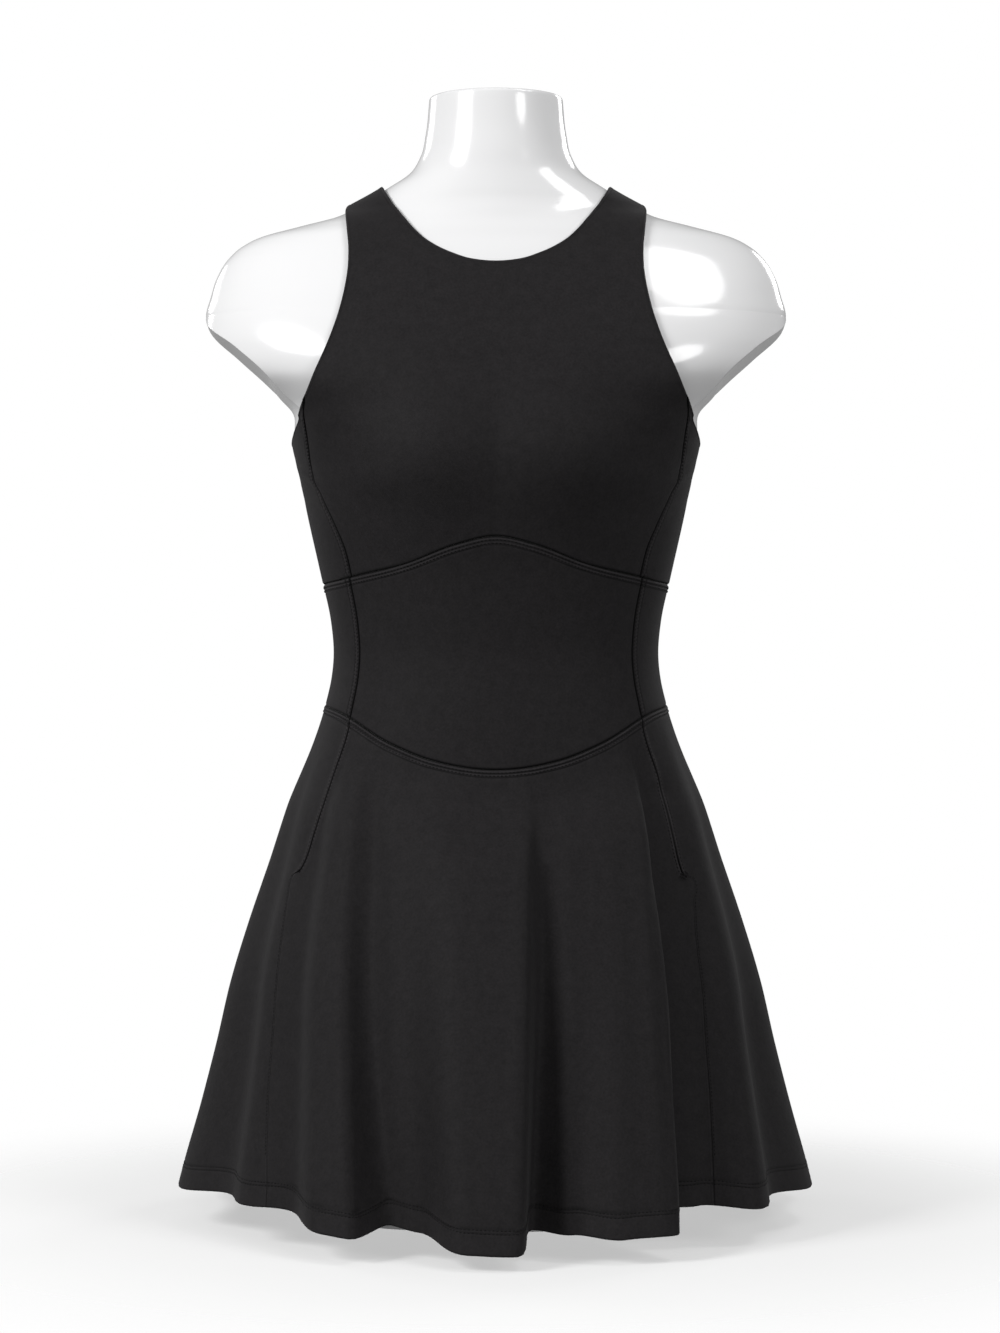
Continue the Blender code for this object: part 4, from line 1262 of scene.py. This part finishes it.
SKIRT_PANELS = (
    ("skirt_front", (-1, -1), (1, -1), front_columns, True, True),
    ("skirt_side_left", (1, -1), (1, 1), side_columns, True, False),
    ("skirt_back", (1, 1), (-1, 1), back_columns, False, False),
    ("skirt_side_right", (-1, 1), (-1, -1), side_columns, False, True),
)
for name, start, end, columns, start_pocket, end_pocket in SKIRT_PANELS:
    grid = skirt_grid(start, end, columns)
    build_panel(name, grid, skirt_edges(grid, start_pocket, end_pocket), SKIRT_CREASES)

for name, piece in pieces.items():
    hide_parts(name)

SKIRT_NAMES = [row[0] for row in SKIRT_PANELS]
MIDRIFF_SIDES = ["midriff_side_left", "midriff_side_right"]
MIDRIFF_NAMES = ["midriff_front", MIDRIFF_SIDES[0], "midriff_back", MIDRIFF_SIDES[1]]
SIDE_NAMES = ["bodice_side_left", "bodice_side_right"]
FRONT_SEAMS = (("skirt_side_left", "left"), ("skirt_side_right", "right"))
BACK_SEAMS = (("skirt_side_left", "right"), ("skirt_side_right", "left"))
MOUTHS = (("skirt_front", "left"), ("skirt_front", "right"))
pocket_rows = int(np.sum(panels["skirt_front"][0][:, 0, 2] > POCKET_FOOT))


def rows_beside(names, sides, distances):
    """Lines at the given distances from the sides of each panel."""
    return [line_beside(n, s, d) for n in names for s in sides for d in distances]


def seam_rows(places, distance, first, last):
    """Lines at a distance from part of each (panel, side)."""
    return [line_beside(panel, side, distance, first, last) for panel, side in places]


def tack(panel, side, row):
    """Short rows of stitches across the foot of a pocket mouth."""
    surface, normals = panels[panel]
    column_at = 0 if side == "left" else -1
    place = surface[row, column_at]
    out = normals[row, column_at]
    run = unit(surface[row + 1, column_at] - surface[row - 1, column_at])
    beside = unit(np.cross(run, out))
    rows = []
    for step in range(-TACK_ROWS, TACK_ROWS + 1):
        middle = place + run * step * TACK_PITCH + out * TACK_LIFT
        ends = np.stack([middle - beside * TACK_HALF, middle + beside * TACK_HALF])
        rows.append((ends, np.stack([out, out])))
    return rows


made = {
    "stitches_hem": rows_beside(SKIRT_NAMES, ["top"], HEM_ROWS),
    "stitches_waist": rows_beside(SKIRT_NAMES, ["bottom"], BAND_ROWS),
    "stitches_underbust": rows_beside(MIDRIFF_NAMES, ["top"], BAND_ROWS),
    "stitches_princess": rows_beside(SIDE_NAMES, ["left", "right"], NARROW_ROWS),
    "stitches_midriff": rows_beside(MIDRIFF_SIDES, ["left", "right"], NARROW_ROWS),
    "stitches_pocket": seam_rows(MOUTHS + FRONT_SEAMS, POCKET_ROW, NEAR_END, pocket_rows),
    "stitches_skirt_seams": (
        seam_rows(FRONT_SEAMS, SEAM_ROW, pocket_rows, HEM_END)
        + seam_rows(BACK_SEAMS, SEAM_ROW, NEAR_END, HEM_END)
    ),
    "stitches_tacks": [row for mouth in MOUTHS for row in tack(*mouth, pocket_rows - 1)],
}
for name, lines in made.items():
    stitches(name, lines)


def blend_shaders(tree, share, output, first, second, end):
    """Mixes two shaders by an output and joins the mix to the surface of the tree's end."""
    choice = tree.nodes.new("ShaderNodeMixShader")
    join(tree, share, output, choice, 0)
    join(tree, first, 0, choice, 1)
    join(tree, second, 0, choice, 2)
    join(tree, choice, 0, tree.nodes[end], "Surface")


def add_floor():
    """Wide white floor that thins out to clear away from the form."""
    mesh = bpy.data.meshes.new("floor")
    corners = [(x * FLOOR_SIZE, y * FLOOR_SIZE, 0) for x, y in ((-1, -1), (1, -1), (1, 1), (-1, 1))]
    mesh.from_pydata(corners, [], [(0, 1, 2, 3)])
    material, tree, shader = new_material("floor_white")
    fill(shader, Base_Color=FLOOR_COLOUR, Roughness=FLOOR_ROUGHNESS, Specular_IOR_Level=FLOOR_SPECULAR)
    place = tree.nodes.new("ShaderNodeTexCoord")
    reach = tree.nodes.new("ShaderNodeVectorMath")
    reach.operation = "LENGTH"
    join(tree, place, "Object", reach, 0)
    fade = node(tree, "ShaderNodeMapRange", From_Min=FLOOR_CLEAR, From_Max=FLOOR_END, To_Min=FLOOR_THIN)
    fade.interpolation_type = "SMOOTHSTEP"
    join(tree, reach, "Value", fade, "Value")
    clear = tree.nodes.new("ShaderNodeBsdfTransparent")
    blend_shaders(tree, fade, "Result", shader, clear, "Material Output")
    mesh.materials.append(material)
    floor = add_object("floor", mesh)


def add_light(name, place, target, size, power):
    light = bpy.data.lights.new(name, "AREA")
    light.shape = "DISK"
    light.size = size
    light.energy = power
    obj = add_object(name, light)
    obj.location = place
    across, ahead, upward = np.array(target) - np.array(place)
    tilt = math.atan2(math.hypot(across, ahead), -upward)
    obj.rotation_euler = (tilt, 0, math.atan2(ahead, across) - math.pi / 2)


def add_world():
    """Plain white to the camera, and a soft ambient light to everything else."""
    world = bpy.data.worlds.new("studio")
    world.use_nodes = True
    tree = world.node_tree
    ambient = fill(tree.nodes["Background"], Color=WHITE, Strength=AMBIENT)
    backdrop = node(tree, "ShaderNodeBackground", Color=WHITE, Strength=1.0)
    rays = tree.nodes.new("ShaderNodeLightPath")
    blend_shaders(tree, rays, "Is Camera Ray", ambient, backdrop, "World Output")
    bpy.context.scene.world = world


def add_camera():
    camera = bpy.data.cameras.new("camera")
    camera.lens = CAMERA_LENS
    camera.sensor_width = CAMERA_SENSOR
    camera.sensor_fit = "AUTO"
    obj = add_object("camera", camera)
    obj.location = CAMERA_PLACE
    obj.rotation_euler = (math.pi / 2, 0, 0)
    bpy.context.scene.camera = obj


add_floor()
add_world()
for light in LIGHTS:
    add_light(*light)
add_camera()
bpy.context.scene.view_settings.view_transform = "Standard"
